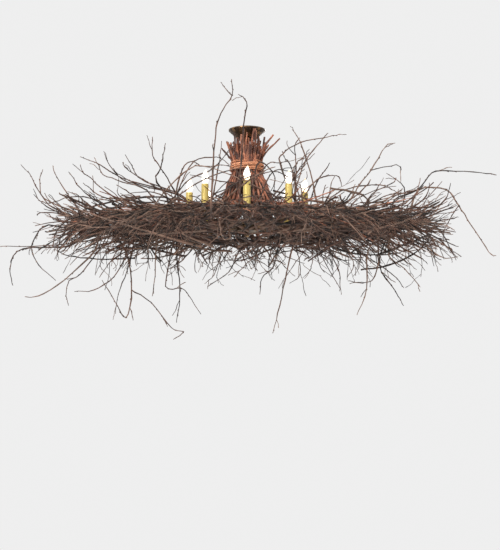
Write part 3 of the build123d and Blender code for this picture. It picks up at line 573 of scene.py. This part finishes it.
def stick_path(layer, number, rng):
    """A stick from its butt, through the tie, and out through the skirt into the nest."""
    ring, thick = sheaf_rings()[layer]
    in_lane = RING_COUNTS[layer] // LAMP_COUNT
    centre = FIRST_LAMP + (number // in_lane + 0.5) * LAMP_STEP
    start = FIRST_LAMP + (number + 0.5) * 360.0 / RING_COUNTS[layer]
    through = centre + (start - centre) * 0.6
    away = centre + (start - centre) * 1.1 + rng.uniform(-9, 9)
    outermost = len(RING_COUNTS) - 1
    flare = 0.45 + 0.55 * layer / outermost
    half_tie = 17.4
    reach = max(nest_reach(away) * rng.uniform(0.55, 0.9), INNER_HOOP + STICK_OVERHANG)
    over_hoop = NEST_LEVEL + HOOP_ROD_RADIUS + thick + layer * 8.0
    lift = NEST_RISE * swell(away) * rng.uniform(-0.7, 0.7)
    butt_rise = 38.0 + (outermost - layer) * 6.0 + rng.uniform(0, 34)
    lean = rng.uniform(-1.0, 9.0) * layer / outermost
    halfway = (INNER_HOOP + reach) / 2
    path = [
        polar(ring + lean, start + rng.uniform(-3, 3), -butt_rise),
        polar(ring, start, TIE_LEVEL + half_tie),
        polar(ring, start, TIE_LEVEL - half_tie),
        polar(ring + (SKIRT_RADIUS - ring) * 0.42 * flare, start, (TIE_LEVEL + SKIRT_LEVEL) / 2),
        polar(ring + (SKIRT_RADIUS - ring) * flare, start, SKIRT_LEVEL - 26.0 * (1 - flare)),
        polar(SKIRT_FOOT, through, (over_hoop + SKIRT_LEVEL) / 2 - 12.0 * (1 - flare)),
        polar(INNER_HOOP, through, over_hoop),
        polar(halfway, (through + away) / 2, NEST_LEVEL + 0.35 * lift + 12.0),
        polar(reach, away, NEST_LEVEL + lift),
    ]
    return path, [thick] * 4 + thinning(thick * 0.95, STICK_TIP, len(path) - 4)


stick_draw = Random(11)
knot_draw = Random(12)
sticks, stick_shoots = [], []
for layer, count in enumerate(RING_COUNTS):
    for number in range(count):
        path, sizes = stick_path(layer, number, stick_draw)
        slimmer = knot_draw.uniform(0.62, 1.0)
        path[0] += Vector((knot_draw.gauss(0, 5.0), knot_draw.gauss(0, 5.0), 0))
        knotty = [size * slimmer * knot_draw.uniform(0.9, 1.0) for size in sizes]
        line, thick = flowing(path, knotty, 4, 1.5, knot_draw)
        sticks.append((line, thick))
        grown = [(line, thick)] + shoots_of(line, thick, 2, 150.0, knot_draw)
        stick_shoots += clipped(grown, knot_draw)[1:]

# Short butts are wedged into the top of the tie, and lean out of it past the canopy. Each has its bearing,
# how far its top stands out, the level of its top and its radius.
WEDGED_BUTTS = (
    (-28, 74, -42, 3.4), (-36, 56, -30, 3.8), (-58, 18, -16, 3.6), (-74, 17, -10, 4.2),
    (-88, 13, -24, 3.4), (-98, 20, -14, 3.2), (-112, 12, -30, 4.0), (-131, 17, -22, 3.0),
    (-150, 26, -52, 3.4), (-168, 40, -70, 3.2), (172, 22, -40, 3.6), (140, 14, -34, 3.8),
    (118, 19, -20, 3.4), (92, 12, -30, 4.0), (70, 20, -15, 3.4), (48, 15, -28, 3.8),
    (24, 24, -36, 3.2), (4, 12, -26, 4.2), (-16, 28, -58, 3.0), (-46, 12, -34, 4.0),
    (-66, 26, -12, 3.6), (-80, 22, -46, 3.4), (-104, 17, -52, 3.8), (-120, 24, -44, 3.2),
    (-52, 22, -50, 3.4),
)
tied, outer_stick = sheaf_rings()[-1]
for bearing, stand_out, top, size in WEDGED_BUTTS:
    path = [
        polar(tied - 4.0, bearing, TIE_LEVEL - 12.0),
        polar(tied + 1.0, bearing, TIE_LEVEL + 17.0),
        polar(tied + 0.45 * stand_out, bearing + knot_draw.uniform(-5, 5), (TIE_LEVEL + 17.0 + top) / 2),
        polar(tied + stand_out, bearing + knot_draw.uniform(-7, 7), top),
    ]
    line, thick = flowing(path, [size, size, size * 0.95, size * 0.8], 4, 0.9, knot_draw)
    sticks.append((line, thick))
    sticks += buds_of(line, thick, 0.2, knot_draw)
sheaf = lay("sheaf_sticks", sticks, copper_bark, 2)
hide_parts("neck_sticks")
lay("sheaf_shoots", stick_shoots, dark_bark)


# Tie: split willow wound wet round the sheaf, seven turns side by side, with six looser strands crossed over
# them. It has dried orange brown.
def split_wood():
    """Split willow: stringy fibres along the strand, pale inside and darker where the bark is left on."""
    tree, given, out = effect("split_wood", ["Wood", "Skin"])
    point = put(tree, "ShaderNodeTexCoord").outputs["Object"]
    round_it = put(tree, "ShaderNodeMapping", {"Vector": point, "Scale": (90.0, 90.0, 1500.0)})
    fibres = noise_at(tree, round_it.outputs["Vector"], 1.0, 7.0)
    skin = spread(tree, noise_at(tree, point, 120.0, 5.0), 0.5, 0.64)
    both = combined(tree, "MULTIPLY", skin, spread(tree, fibres, 0.35, 0.6))
    colour = blend_colours(tree, both, given["Wood"], given["Skin"])
    give(tree, out, colour, spread(tree, fibres, 0.3, 0.7, 0.45, 0.75), fibres)
    return tree


willow = material_of(
    "split_willow",
    split_wood(),
    {"Wood": (0.74, 0.34, 0.18, 1), "Skin": (0.28, 0.085, 0.040, 1)},
    bump=0.6,
    bump_depth=0.001,
)
STRAND_SEAT = 1.85
BAND_RADIUS = tied + outer_stick + STRAND_SEAT
BAND_PITCH = 4.0
BAND_TURNS = 7
STEPS_A_TURN = 30


def wound(turns, low, high, radius, thick, start, rng, sway):
    """A strand wound round the sheaf between two levels, rising and falling a little as it goes."""
    count = int(turns * STEPS_A_TURN)
    path, sizes = [], []
    drift = [rng.uniform(0, 2 * pi) for _ in range(3)]
    for place in range(count + 1):
        share = place / count
        angle = start + 360.0 * turns * share
        height = low + (high - low) * share + sway * sin(radians(angle) * 0.7 + drift[0])
        height += 0.4 * sway * sin(radians(angle) * 1.9 + drift[1])
        path.append(polar(radius + 0.6 * sin(radians(angle) * 2.3 + drift[2]), angle, height))
        sizes.append(thick * rng.uniform(0.78, 1.1))
    return path, sizes


tie_draw = Random(5)
low, high = TIE_LEVEL - BAND_PITCH * BAND_TURNS / 2, TIE_LEVEL + BAND_PITCH * BAND_TURNS / 2
strands = [wound(BAND_TURNS, low, high, BAND_RADIUS, 1.5, FIRST_LAMP, tie_draw, 1.6)]
# Each loose strand has its turns, its two ends above or below the middle of the tie, how far it stands off
# the band, its radius, the bearing where it starts and how much it sways
LOOSE_STRANDS = (
    (2.3, -12, 12, 2.6, 1.4, -160, 3.4),
    (2.1, 14, -13, 3.0, 1.1, -60, 4.0),
    (1.6, 4, 17, 2.2, 1.2, 20, 2.6),
    (1.3, -14, -6, 2.4, 1.0, -110, 3.0),
    (1.8, 2, -9, 3.4, 0.9, -130, 4.4),
    (1.4, -4, 9, 3.8, 1.0, 150, 5.0),
)
for turns, first, last, off, thick, start, sway in LOOSE_STRANDS:
    low, high = TIE_LEVEL + first, TIE_LEVEL + last
    strands.append(wound(turns, low, high, BAND_RADIUS + off, thick, start, tie_draw, sway))
tie = lay("willow_tie", strands, willow, 2)
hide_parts("tie_band")


# Nest: brush gathered from the tops of trees, laid on the two hoops and tied under them, crossing every way.
# The stems carry the brush, each with side shoots, and the brush fills the room between them.
STEM_COUNT = 216
STEM_BUTT = 4.0
STEM_TIP = 1.1
LOWER_STEM_START = 76.0
BRUSH_COUNT = 165
LARGEST_DROOP = 25.0


def droop(y):
    """How far the nest sags towards its front and its back."""
    return LARGEST_DROOP * (y / NEST_HALF_DEPTH) ** 2


def round_the_nest(share):
    """The bearing of a point on the nest's oval, from an angle that is spread evenly along it."""
    return degrees(atan2(NEST_HALF_DEPTH * sin(radians(share)), NEST_HALF_LENGTH * cos(radians(share))))


def side_branch(path, radii, place, rng):
    """A short branch out of a stem."""
    root = path[place]
    along = path[place + 1] - root
    turn = rng.choice((-1, 1)) * rng.uniform(22, 48)
    way = Matrix.Rotation(radians(turn), 3, "Z") @ along.normalized() + up(rng.uniform(-0.35, 0.35))
    length = along.length * rng.uniform(0.8, 1.5)
    middle = root + way * (0.5 * length) + up(rng.uniform(-6, 6))
    tip = root + Matrix.Rotation(radians(-0.3 * turn), 3, "Z") @ way * length
    thick = 0.6 * radii[place]
    return [root, middle, tip], [thick, 0.8 * thick, STEM_TIP]


def stem_path(number, rng):
    """A stem of the nest with its branches. Even numbers lie over the outer hoop, odd ones hang under it."""
    over = 1 if number % 2 == 0 else -1
    bearing = round_the_nest(360.0 * (number + rng.uniform(-0.4, 0.4)) / STEM_COUNT)
    hoop = oval_reach(*OUTER_HOOP, bearing)
    radii = thinning(STEM_BUTT * rng.uniform(0.75, 1.15), STEM_TIP, 6)
    turn = rng.uniform(-24, 24)
    bow = rng.uniform(-0.10, 0.10)
    start_share = rng.uniform(0.0, 1.0)
    end_share = rng.uniform(0.5, 1.0)
    inner = INNER_HOOP if over > 0 else LOWER_STEM_START
    back = hoop - inner - start_share * 0.3 * (hoop - inner)
    out = (nest_reach(bearing) - hoop) * end_share + 0.12 * hoop
    way = polar(1, bearing + turn, 0)
    across = polar(1, bearing + turn + 90, 0)
    knee = polar(hoop, bearing, NEST_LEVEL + over * (HOOP_ROD_RADIUS + radii[2]))
    rise = over * NEST_RISE * swell(bearing) * rng.uniform(0.05, 1.0)
    start_rise = over * (rng.uniform(4, 30) + (0 if over > 0 else 24.0))
    path = [knee - way * back + across * (bow * back) + up(start_rise)]
    path += [knee - way * (0.45 * back) + up(0.35 * start_rise), knee]
    for part, lift in ((0.4, 0.25), (0.75, 0.62), (1.0, 1.0)):
        sway = out * (bow * part + rng.uniform(-0.05, 0.05))
        place = knee + way * (part * out) + across * sway + up(lift * rise + rng.uniform(-7, 7))
        path.append(place - up(droop(place.y)))
    branches = [side_branch(path, radii, place, rng) for place in rng.sample((2, 3, 4), 2)]
    return path, radii, branches


def side_of_nest(point):
    if abs(point.y) > 0.75 * abs(point.x):
        return "front" if point.y < 0 else "back"
    return "left" if point.x < 0 else "right"


stems = {"left": [], "right": [], "front": [], "back": []}
twig_draw = Random(29)
bud_draw = Random(30)
for number in range(STEM_COUNT):
    path, radii, branches = stem_path(number, twig_draw)
    region = side_of_nest(path[3])
    outward = (path[5] - path[2]).normalized()
    curl = outward.cross(up(1)) * bud_draw.gauss(0, 34.0) + up(bud_draw.gauss(0, 16.0))
    path[4] += 0.3 * curl
    path[5] += 1.4 * curl - outward * (0.5 * curl.length)
    grown = grown_twig(path, radii, 1.8, 0.4, (0, 1, 1), 170.0, bud_draw)
    for points, sizes in branches:
        grown += grown_twig(points, sizes, 1.2, 0.4, (0, 0, 1), 90.0, bud_draw)
    stems[region] += clipped(grown, bud_draw)
for region, twigs in stems.items():
    piece = lay(f"nest_stems_{region}", twigs, dark_bark)
    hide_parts(f"nest_{region}")


def brush_twig(rng):
    """A loose twig laid anywhere in the nest, close to level, and bent as it grew."""
    bearing = round_the_nest(rng.uniform(0, 360))
    reach = nest_reach(bearing)
    part = rng.triangular(0.36, 0.88, 0.46)
    turn = rng.gauss(0, 60)
    length = min(rng.uniform(240, 520), 2.0 * (1.02 - part) * reach + 150.0)
    heading = polar(1, bearing + turn, 0)
    across = polar(1, bearing + turn + 90, 0)
    half = NEST_RISE * max(swell(bearing), 0.55) * (0.25 + 0.4 * part)
    height = NEST_LEVEL + rng.triangular(-1.2 * half, half, -0.4 * half)
    middle = polar(reach * part, bearing, height)
    tilt = rng.gauss(0, 0.24)
    bow = rng.uniform(-0.22, 0.22) * length
    arch = rng.uniform(-0.07, 0.07) * length
    path = []
    for along, bend in ((-0.5, 0.0), (-0.2, 0.8), (0.1, 1.0), (0.33, 0.6), (0.5, -0.2)):
        place = middle + heading * (along * length) + across * (bow * bend)
        rise = tilt * along * length + arch * bend - droop(place.y)
        path.append(place + up(rise + rng.uniform(-5, 5)))
    return path, thinning(rng.uniform(2.4, 4.0), 1.2, len(path))


brush = {"left": [], "right": [], "front": [], "back": []}
brush_draw = Random(47)
for _ in range(BRUSH_COUNT):
    path, radii = brush_twig(brush_draw)
    grown = grown_twig(path, radii, 1.9, 0.4, (0, 1, 1), 140.0, brush_draw)
    brush[side_of_nest(path[2])] += clipped(grown, brush_draw)
for region, twigs in brush.items():
    lay(f"nest_brush_{region}", twigs, dark_bark)

# Fringe: fine twigs pushed into the underside and the edge of the nest. They droop out of it, and their tips
# have dried in curls.
FRINGE_COUNT = 130


def fringe_twig(rng):
    """A fine twig from inside the underside of the nest, out and down, with its tip curling either way."""
    bearing = round_the_nest(rng.uniform(0, 360))
    root = polar(oval_reach(*OUTER_HOOP, bearing) * rng.uniform(0.62, 1.12), bearing, NEST_LEVEL - 12.0)
    heading = polar(1, bearing + rng.gauss(0, 55), 0)
    across = polar(1, bearing + 90, 0)
    length = rng.uniform(90, 230)
    fall = length * rng.uniform(0.35, 0.75)
    curl = rng.uniform(-0.35, 0.35) * length
    path = [root]
    for along, drop, bend in ((0.3, 0.08, 0.1), (0.62, 0.42, 0.5), (0.78, 0.75, 0.9), (0.8, 1.0, 1.5)):
        place = root + heading * (along * length) + across * (bend * curl) - up(drop * fall)
        path.append(place + Vector([rng.uniform(-5, 5) for _ in range(3)]))
    return path, thinning(rng.uniform(1.4, 2.2), 0.9, len(path))


fringe_draw = Random(83)
fringe = []
for _ in range(FRINGE_COUNT):
    path, radii = fringe_twig(fringe_draw)
    fringe += grown_twig(path, radii, 1.6, 0.4, (1, 2, 3), 80.0, fringe_draw, 0)
lay("fringe", fringe, dark_bark)

# Sprays: long stray twigs tied to the hoops, which stand out of the nest or droop from it, with buds and
# fine shoots. Each has its depth at the root and at the tip, and then its points along and up from the nest,
# all as shares of how far the sprays reach.
SPRAY_HALF_LENGTH = 880.0
SPRAY_HALF_DEPTH = 860.0
SPRAY_HEIGHT = 400.0
SPRAYS = (
    (
        -0.56, -1.00,
        ((-0.13, -0.13), (-0.12, 0.17), (-0.11, 0.42), (-0.09, 0.53), (-0.05, 0.62), (-0.05, 0.69)),
    ),
    (-0.92, -0.99, ((-0.06, 0.61), (-0.08, 0.65))),
    (-0.38, -0.66, ((-0.03, 0.01), (-0.02, 0.35), (-0.01, 0.61), (0.0, 0.76), (-0.03, 0.78))),
    (-0.07, -0.17, ((-0.27, 0.19), (-0.29, 0.28), (-0.34, 0.45), (-0.37, 0.55), (-0.37, 0.70))),
    (-0.07, -0.14, ((-0.32, 0.23), (-0.36, 0.36), (-0.34, 0.46), (-0.33, 0.56), (-0.32, 0.66))),
    (-0.05, -0.07, ((0.28, 0.16), (0.25, 0.45), (0.21, 0.72), (0.18, 0.82))),
    (-0.10, -0.12, ((0.18, 0.20), (0.13, 0.50), (0.14, 0.58), (0.21, 0.68), (0.32, 0.73), (0.37, 0.75))),
    (-0.10, -0.14, ((0.19, 0.22), (0.23, 0.51), (0.29, 0.68), (0.32, 0.75))),
    (0.00, 0.05, ((0.41, 0.22), (0.45, 0.36), (0.50, 0.50), (0.56, 0.72), (0.60, 0.76))),
    (0.02, 0.00, ((0.50, 0.48), (0.60, 0.54), (0.62, 0.49))),
    (0.00, -0.07, ((0.59, 0.22), (0.68, 0.30), (0.74, 0.45), (0.80, 0.46), (0.93, 0.44), (0.99, 0.41))),
    (
        0.00, 0.05,
        ((0.49, 0.21), (0.69, 0.31), (0.80, 0.32), (0.85, 0.18), (0.90, 0.01), (0.97, -0.23), (1.0, -0.26)),
    ),
    (0.02, 0.07, ((0.86, 0.16), (0.80, 0.0), (0.79, -0.09))),
    (0.00, -0.09, ((0.67, 0.02), (0.75, -0.03), (0.78, -0.14), (0.82, -0.35))),
    (0.00, 0.07, ((0.59, -0.20), (0.77, -0.27), (0.85, -0.26))),
    (
        0.00, -0.07,
        ((-0.65, -0.07), (-0.79, -0.01), (-0.84, -0.12), (-0.85, -0.24), (-0.82, -0.38), (-0.75, -0.52)),
    ),
    (
        0.00, 0.07,
        ((-0.71, -0.19), (-0.86, -0.20), (-0.91, -0.22), (-0.94, -0.28), (-0.95, -0.40), (-0.94, -0.52)),
    ),
    (0.00, -0.12, ((-0.69, -0.16), (-0.80, -0.21), (-0.97, -0.24))),
    (0.00, -0.07, ((-0.71, 0.08), (-0.79, 0.17), (-0.84, 0.33), (-0.87, 0.45))),
    (0.05, 0.07, ((-0.69, 0.13), (-0.82, 0.26), (-0.84, 0.43), (-0.83, 0.53))),
    (-0.05, 0.00, ((-0.58, 0.09), (-0.70, 0.21), (-0.76, 0.41), (-0.78, 0.53))),
    (0.00, -0.07, ((-0.55, -0.18), (-0.60, -0.23), (-0.72, -0.50), (-0.82, -0.65), (-0.87, -0.66))),
    (0.07, -0.05, ((-0.49, -0.20), (-0.46, -0.57), (-0.48, -0.82), (-0.52, -0.69), (-0.57, -0.51))),
    (0.02, -0.02, ((-0.46, -0.56), (-0.38, -0.69), (-0.30, -0.91), (-0.25, -0.95), (-0.29, -1.02))),
    (-0.05, -0.12, ((0.18, -0.23), (0.15, -0.52), (0.12, -0.81), (0.10, -0.99))),
    (0.07, 0.00, ((0.48, -0.20), (0.53, -0.34), (0.59, -0.58), (0.62, -0.72))),
    (0.00, 0.07, ((0.39, -0.17), (0.43, -0.21), (0.58, -0.42), (0.63, -0.54))),
    (-0.05, -0.07, ((0.48, -0.24), (0.47, -0.59), (0.43, -0.82))),
    (0.05, 0.02, ((0.57, -0.26), (0.63, -0.38), (0.69, -0.55))),
    (0.07, 0.00, ((0.29, -0.16), (0.30, -0.27), (0.37, -0.57))),
    (-0.07, -0.19, ((0.04, -0.17), (-0.03, -0.28), (-0.07, -0.47), (-0.15, -0.61))),
)
# The sprays that fork from the one before them
SIDE_SPRAYS = (1, 9, 12, 23)
# A spray's root lies its seat above or below a hoop. It is tied from its grip behind that place to its hold
# past it, then runs free of the hoop and bends away in its elbow.
SPRAY_SEAT = 6.5
SPRAY_GRIP = 22.0
SPRAY_HOLD = 3.3
SPRAY_FREE = 13.2
SPRAY_ELBOW = 10.5
SPRAY_RADIUS = 3.2
NEAR_SEAT = 14.0


def laid_out(row):
    """The points of a spray or a stray, from its shares."""
    root_depth, tip_depth, shares = row
    path = []
    for place, (along, height) in enumerate(shares):
        depth = root_depth + (tip_depth - root_depth) * place / (len(shares) - 1)
        level = NEST_LEVEL + height * SPRAY_HEIGHT
        path.append(Vector((along * SPRAY_HALF_LENGTH, depth * SPRAY_HALF_DEPTH, level)))
    return path


def spray_points(number):
    """A spray's points, led off by the stretch that is tied to a hoop, or by a point of the one before."""
    path = laid_out(SPRAYS[number])
    if number in SIDE_SPRAYS:
        return [min(spray_points(number - 1), key=lambda point: (point - path[0]).length)] + path[1:]
    bearing = degrees(atan2(path[0].y, path[0].x))
    from_axis = hypot(path[0].x, path[0].y)
    outer = oval_reach(*OUTER_HOOP, bearing)
    nearer = outer if abs(from_axis - outer) < abs(from_axis - INNER_HOOP) else INNER_HOOP
    seat = polar(nearer, bearing, NEST_LEVEL + (SPRAY_SEAT if path[0].z > NEST_LEVEL else -SPRAY_SEAT))
    if (path[0] - seat).dot(path[1] - path[0]) < 0:
        path = path[1:]
    heading = Vector((path[0].x - seat.x, path[0].y - seat.y, 0))
    if heading.length < NEAR_SEAT:
        heading = Vector((seat.x, seat.y, 0))
    heading.normalize()
    free = seat + heading * SPRAY_FREE
    elbow = free + (heading + (path[0] - free).normalized()).normalized() * SPRAY_ELBOW
    return [seat - heading * SPRAY_GRIP, seat + heading * SPRAY_HOLD, free, elbow] + path


spray_draw = Random(61)
sprays = []
for number in range(len(SPRAYS)):
    path = spray_points(number)
    if number in SIDE_SPRAYS:
        sprays += grown_twig(path, thinning(1.9, 1.0, len(path)), 1.5, 0.6, (1,), 55.0, spray_draw, 0)
    else:
        sizes = [SPRAY_RADIUS] * 2 + thinning(SPRAY_RADIUS, 1.1, len(path) - 2)
        sprays += grown_twig(path, sizes, 1.5, 0.6, (2,), 55.0, spray_draw, 0)
spray_piece = lay("sprays", sprays, dark_bark, 2)
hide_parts("spray_twigs")

# Strays: lighter twigs caught in the top and the underside of the nest, which curl up round the lamps and
# across the foot of the sheaf. They are laid out as the sprays are.
STRAYS = (
    (0.00, -0.04, ((-0.24, 0.24), (-0.43, 0.35), (-0.50, 0.40), (-0.55, 0.52), (-0.57, 0.62))),
    (-0.05, -0.10, ((-0.28, 0.25), (-0.44, 0.35), (-0.51, 0.40), (-0.58, 0.49), (-0.66, 0.56))),
    (0.04, 0.00, ((-0.45, 0.14), (-0.58, 0.33), (-0.63, 0.43), (-0.66, 0.47), (-0.67, 0.54))),
    (0.00, 0.05, ((-0.40, 0.30), (-0.50, 0.39), (-0.58, 0.46), (-0.60, 0.55), (-0.62, 0.63))),
    (0.05, 0.05, ((-0.26, 0.28), (-0.40, 0.40), (-0.44, 0.45), (-0.46, 0.52), (-0.47, 0.57))),
    (-0.08, -0.12, ((-0.30, 0.22), (-0.44, 0.40), (-0.48, 0.46), (-0.49, 0.50))),
    (0.00, 0.03, ((-0.60, 0.22), (-0.71, 0.25), (-0.79, 0.20), (-0.84, 0.23))),
    (-0.05, -0.08, ((-0.36, -0.24), (-0.36, -0.42), (-0.37, -0.66))),
    (0.05, 0.03, ((-0.28, -0.28), (-0.27, -0.52), (-0.27, -0.70), (-0.28, -0.86))),
    (-0.03, -0.06, ((-0.30, -0.26), (-0.32, -0.56), (-0.26, -0.58), (-0.23, -0.64), (-0.18, -0.81))),
    (0.03, 0.00, ((-0.46, -0.24), (-0.48, -0.42), (-0.51, -0.61), (-0.52, -0.79))),
    (0.00, 0.05, ((-0.48, -0.26), (-0.53, -0.46), (-0.61, -0.57), (-0.69, -0.58))),
    (0.03, 0.03, ((-0.60, -0.24), (-0.67, -0.44), (-0.71, -0.49), (-0.72, -0.62), (-0.71, -0.71))),
    (-0.10, -0.16, ((0.06, -0.24), (0.0, -0.39), (-0.05, -0.52))),
    (-0.05, 0.00, ((0.22, 0.20), (0.27, 0.37), (0.34, 0.43), (0.37, 0.41), (0.38, 0.34))),
    (0.00, -0.05, ((0.27, 0.33), (0.31, 0.47), (0.33, 0.53))),
    (0.03, 0.00, ((0.34, 0.26), (0.42, 0.34), (0.50, 0.36), (0.56, 0.35), (0.58, 0.31))),
    (0.00, 0.03, ((0.60, 0.03), (0.71, 0.03), (0.76, 0.14), (0.80, 0.25))),
    (-0.04, 0.00, ((0.58, 0.05), (0.67, 0.05), (0.74, 0.01), (0.78, -0.01))),
    (0.05, 0.02, ((0.60, -0.20), (0.66, -0.22), (0.72, -0.19), (0.76, -0.14))),
    (-0.03, 0.00, ((0.52, -0.26), (0.52, -0.37), (0.50, -0.49), (0.46, -0.52), (0.40, -0.50))),
    (0.04, 0.04, ((0.34, -0.26), (0.37, -0.42), (0.37, -0.58))),
    (-0.05, -0.10, ((0.12, -0.26), (0.10, -0.41), (0.06, -0.50), (0.05, -0.65))),
    (-0.04, 0.00, ((0.50, 0.26), (0.58, 0.36), (0.60, 0.42))),
    (0.04, 0.04, ((0.44, 0.24), (0.52, 0.33), (0.53, 0.37))),
    (0.00, 0.00, ((0.62, 0.16), (0.63, 0.33), (0.56, 0.46))),
    (-0.14, -0.12, ((-0.27, 0.24), (-0.21, 0.50), (-0.12, 0.54), (-0.07, 0.48))),
    (-0.16, -0.14, ((-0.24, 0.30), (-0.13, 0.44), (-0.08, 0.57), (-0.05, 0.68))),
    (-0.14, -0.10, ((-0.13, 0.22), (-0.11, 0.48), (-0.105, 0.57), (-0.10, 0.70))),
    (-0.18, -0.16, ((-0.26, 0.36), (-0.22, 0.48), (-0.17, 0.44), (-0.08, 0.45), (-0.03, 0.38))),
    (-0.20, -0.24, ((-0.30, 0.25), (-0.20, 0.42), (-0.09, 0.36), (0.0, 0.27))),
    (-0.22, -0.20, ((-0.24, 0.20), (-0.14, 0.33), (-0.04, 0.40), (0.03, 0.37), (0.09, 0.24))),
    (-0.16, -0.12, ((0.02, 0.28), (0.08, 0.47), (0.13, 0.49), (0.17, 0.51))),
    (-0.18, -0.20, ((0.04, 0.45), (0.09, 0.41), (0.11, 0.30), (0.09, 0.20))),
    (-0.20, -0.16, ((0.06, 0.20), (0.10, 0.38), (0.15, 0.40), (0.20, 0.30))),
    (-0.06, -0.10, ((0.19, 0.20), (0.195, 0.48), (0.19, 0.66), (0.21, 0.73))),
    (-0.04, -0.08, ((0.20, 0.30), (0.17, 0.52), (0.15, 0.56), (0.14, 0.62))),
    (-0.08, -0.04, ((0.17, 0.28), (0.19, 0.49), (0.22, 0.57), (0.25, 0.63))),
    (-0.10, -0.06, ((0.16, 0.26), (0.19, 0.40), (0.22, 0.50), (0.27, 0.61))),
    (-0.12, -0.04, ((0.10, 0.16), (0.19, 0.38), (0.23, 0.48))),
    (-0.24, -0.28, ((-0.12, 0.14), (0.0, 0.30), (0.12, 0.34), (0.22, 0.20))),
    (-0.26, -0.22, ((0.12, 0.12), (0.02, 0.24), (-0.10, 0.28), (-0.22, 0.34))),
)
CAUGHT_DEPTH = 30.0
strays = []
for row in STRAYS:
    path = laid_out(row)
    lead = path[0] + (path[0] - path[1]) * 0.6
    lead.z = max(NEST_LEVEL - CAUGHT_DEPTH, min(NEST_LEVEL + CAUGHT_DEPTH, lead.z))
    path = [lead] + path
    strays += grown_twig(path, thinning(2.6, 1.1, len(path)), 1.6, 0.55, (1,), 60.0, spray_draw, 0)
lay("strays", strays, dark_bark)

# Studio: a wide pale floor far below the light, and a pale world all round. Three soft lamps and a soft sun
# light the twigs.
FLOOR_REACH = 60.0
FLOOR_LEVEL = -5.0
floor_mesh = bmesh.new()
bmesh.ops.create_grid(floor_mesh, x_segments=1, y_segments=1, size=FLOOR_REACH)
bmesh.ops.translate(floor_mesh, verts=floor_mesh.verts, vec=(0, 0, FLOOR_LEVEL))
ground = bpy.data.meshes.new("floor")
floor_mesh.to_mesh(ground)
floor_mesh.free()
floor = bpy.data.objects.new("floor", ground)
bpy.context.scene.collection.objects.link(floor)
pale = bpy.data.materials.new("pale_floor")
pale.use_nodes = True
paint = pale.node_tree.nodes["Principled BSDF"].inputs
paint["Base Color"].default_value = (0.90, 0.90, 0.89, 1)
paint["Roughness"].default_value = 0.9
ground.materials.append(pale)

world = bpy.data.worlds.new("studio")
world.use_nodes = True
bpy.context.scene.world = world
sky = world.node_tree
backing = sky.nodes["Background"]
backing.inputs["Color"].default_value = (0.92, 0.93, 0.95, 1)
backing.inputs["Strength"].default_value = 0.45
seen = put(sky, "ShaderNodeBackground", {"Color": (0.86, 0.86, 0.86, 1), "Strength": 1.0})
path_kind = put(sky, "ShaderNodeLightPath").outputs
straight = combined(sky, "ADD", path_kind["Is Camera Ray"], path_kind["Is Glossy Ray"])
through = combined(sky, "ADD", straight, path_kind["Is Transmission Ray"])
either = put(sky, "ShaderNodeMixShader", {0: through})
sky.links.new(backing.outputs["Background"], either.inputs[1])
sky.links.new(seen.outputs["Background"], either.inputs[2])
sky.links.new(either.outputs["Shader"], sky.nodes["World Output"].inputs["Surface"])

LAMPS_AIM = (0, 0, -0.3)
for name, place, size, power in (
    ("key", (-2.2, -3.4, 1.6), 1.8, 120.0),
    ("fill", (3.2, -2.8, -1.0), 2.6, 55.0),
    ("rim", (0.6, 3.6, 0.9), 2.2, 90.0),
):
    softbox_data = bpy.data.lights.new(name, "AREA")
    softbox_data.size = size
    softbox_data.energy = power
    softbox = bpy.data.objects.new(name, softbox_data)
    softbox.location = place
    softbox.rotation_euler = (Vector(LAMPS_AIM) - Vector(place)).to_track_quat("-Z", "Y").to_euler()
    bpy.context.scene.collection.objects.link(softbox)

sun_data = bpy.data.lights.new("sun", "SUN")
sun_data.energy = 1.9
sun_data.angle = radians(18)
sun = bpy.data.objects.new("sun", sun_data)
sun.rotation_euler = (radians(38), radians(-16), 0)
bpy.context.scene.collection.objects.link(sun)

# Camera: low in front of the light and tipped up at it, as a person sees it from across the room. The lens is
# long enough to fill the picture's width with the nest.
lens = bpy.data.cameras.new("camera")
lens.lens = 96.22
camera = bpy.data.objects.new("camera", lens)
camera.location = (0.0106, -5.080, -1.298)
camera.rotation_euler = (radians(98.7), 0, 0)
bpy.context.scene.collection.objects.link(camera)
bpy.context.scene.camera = camera
bpy.context.scene.view_settings.view_transform = "Standard"
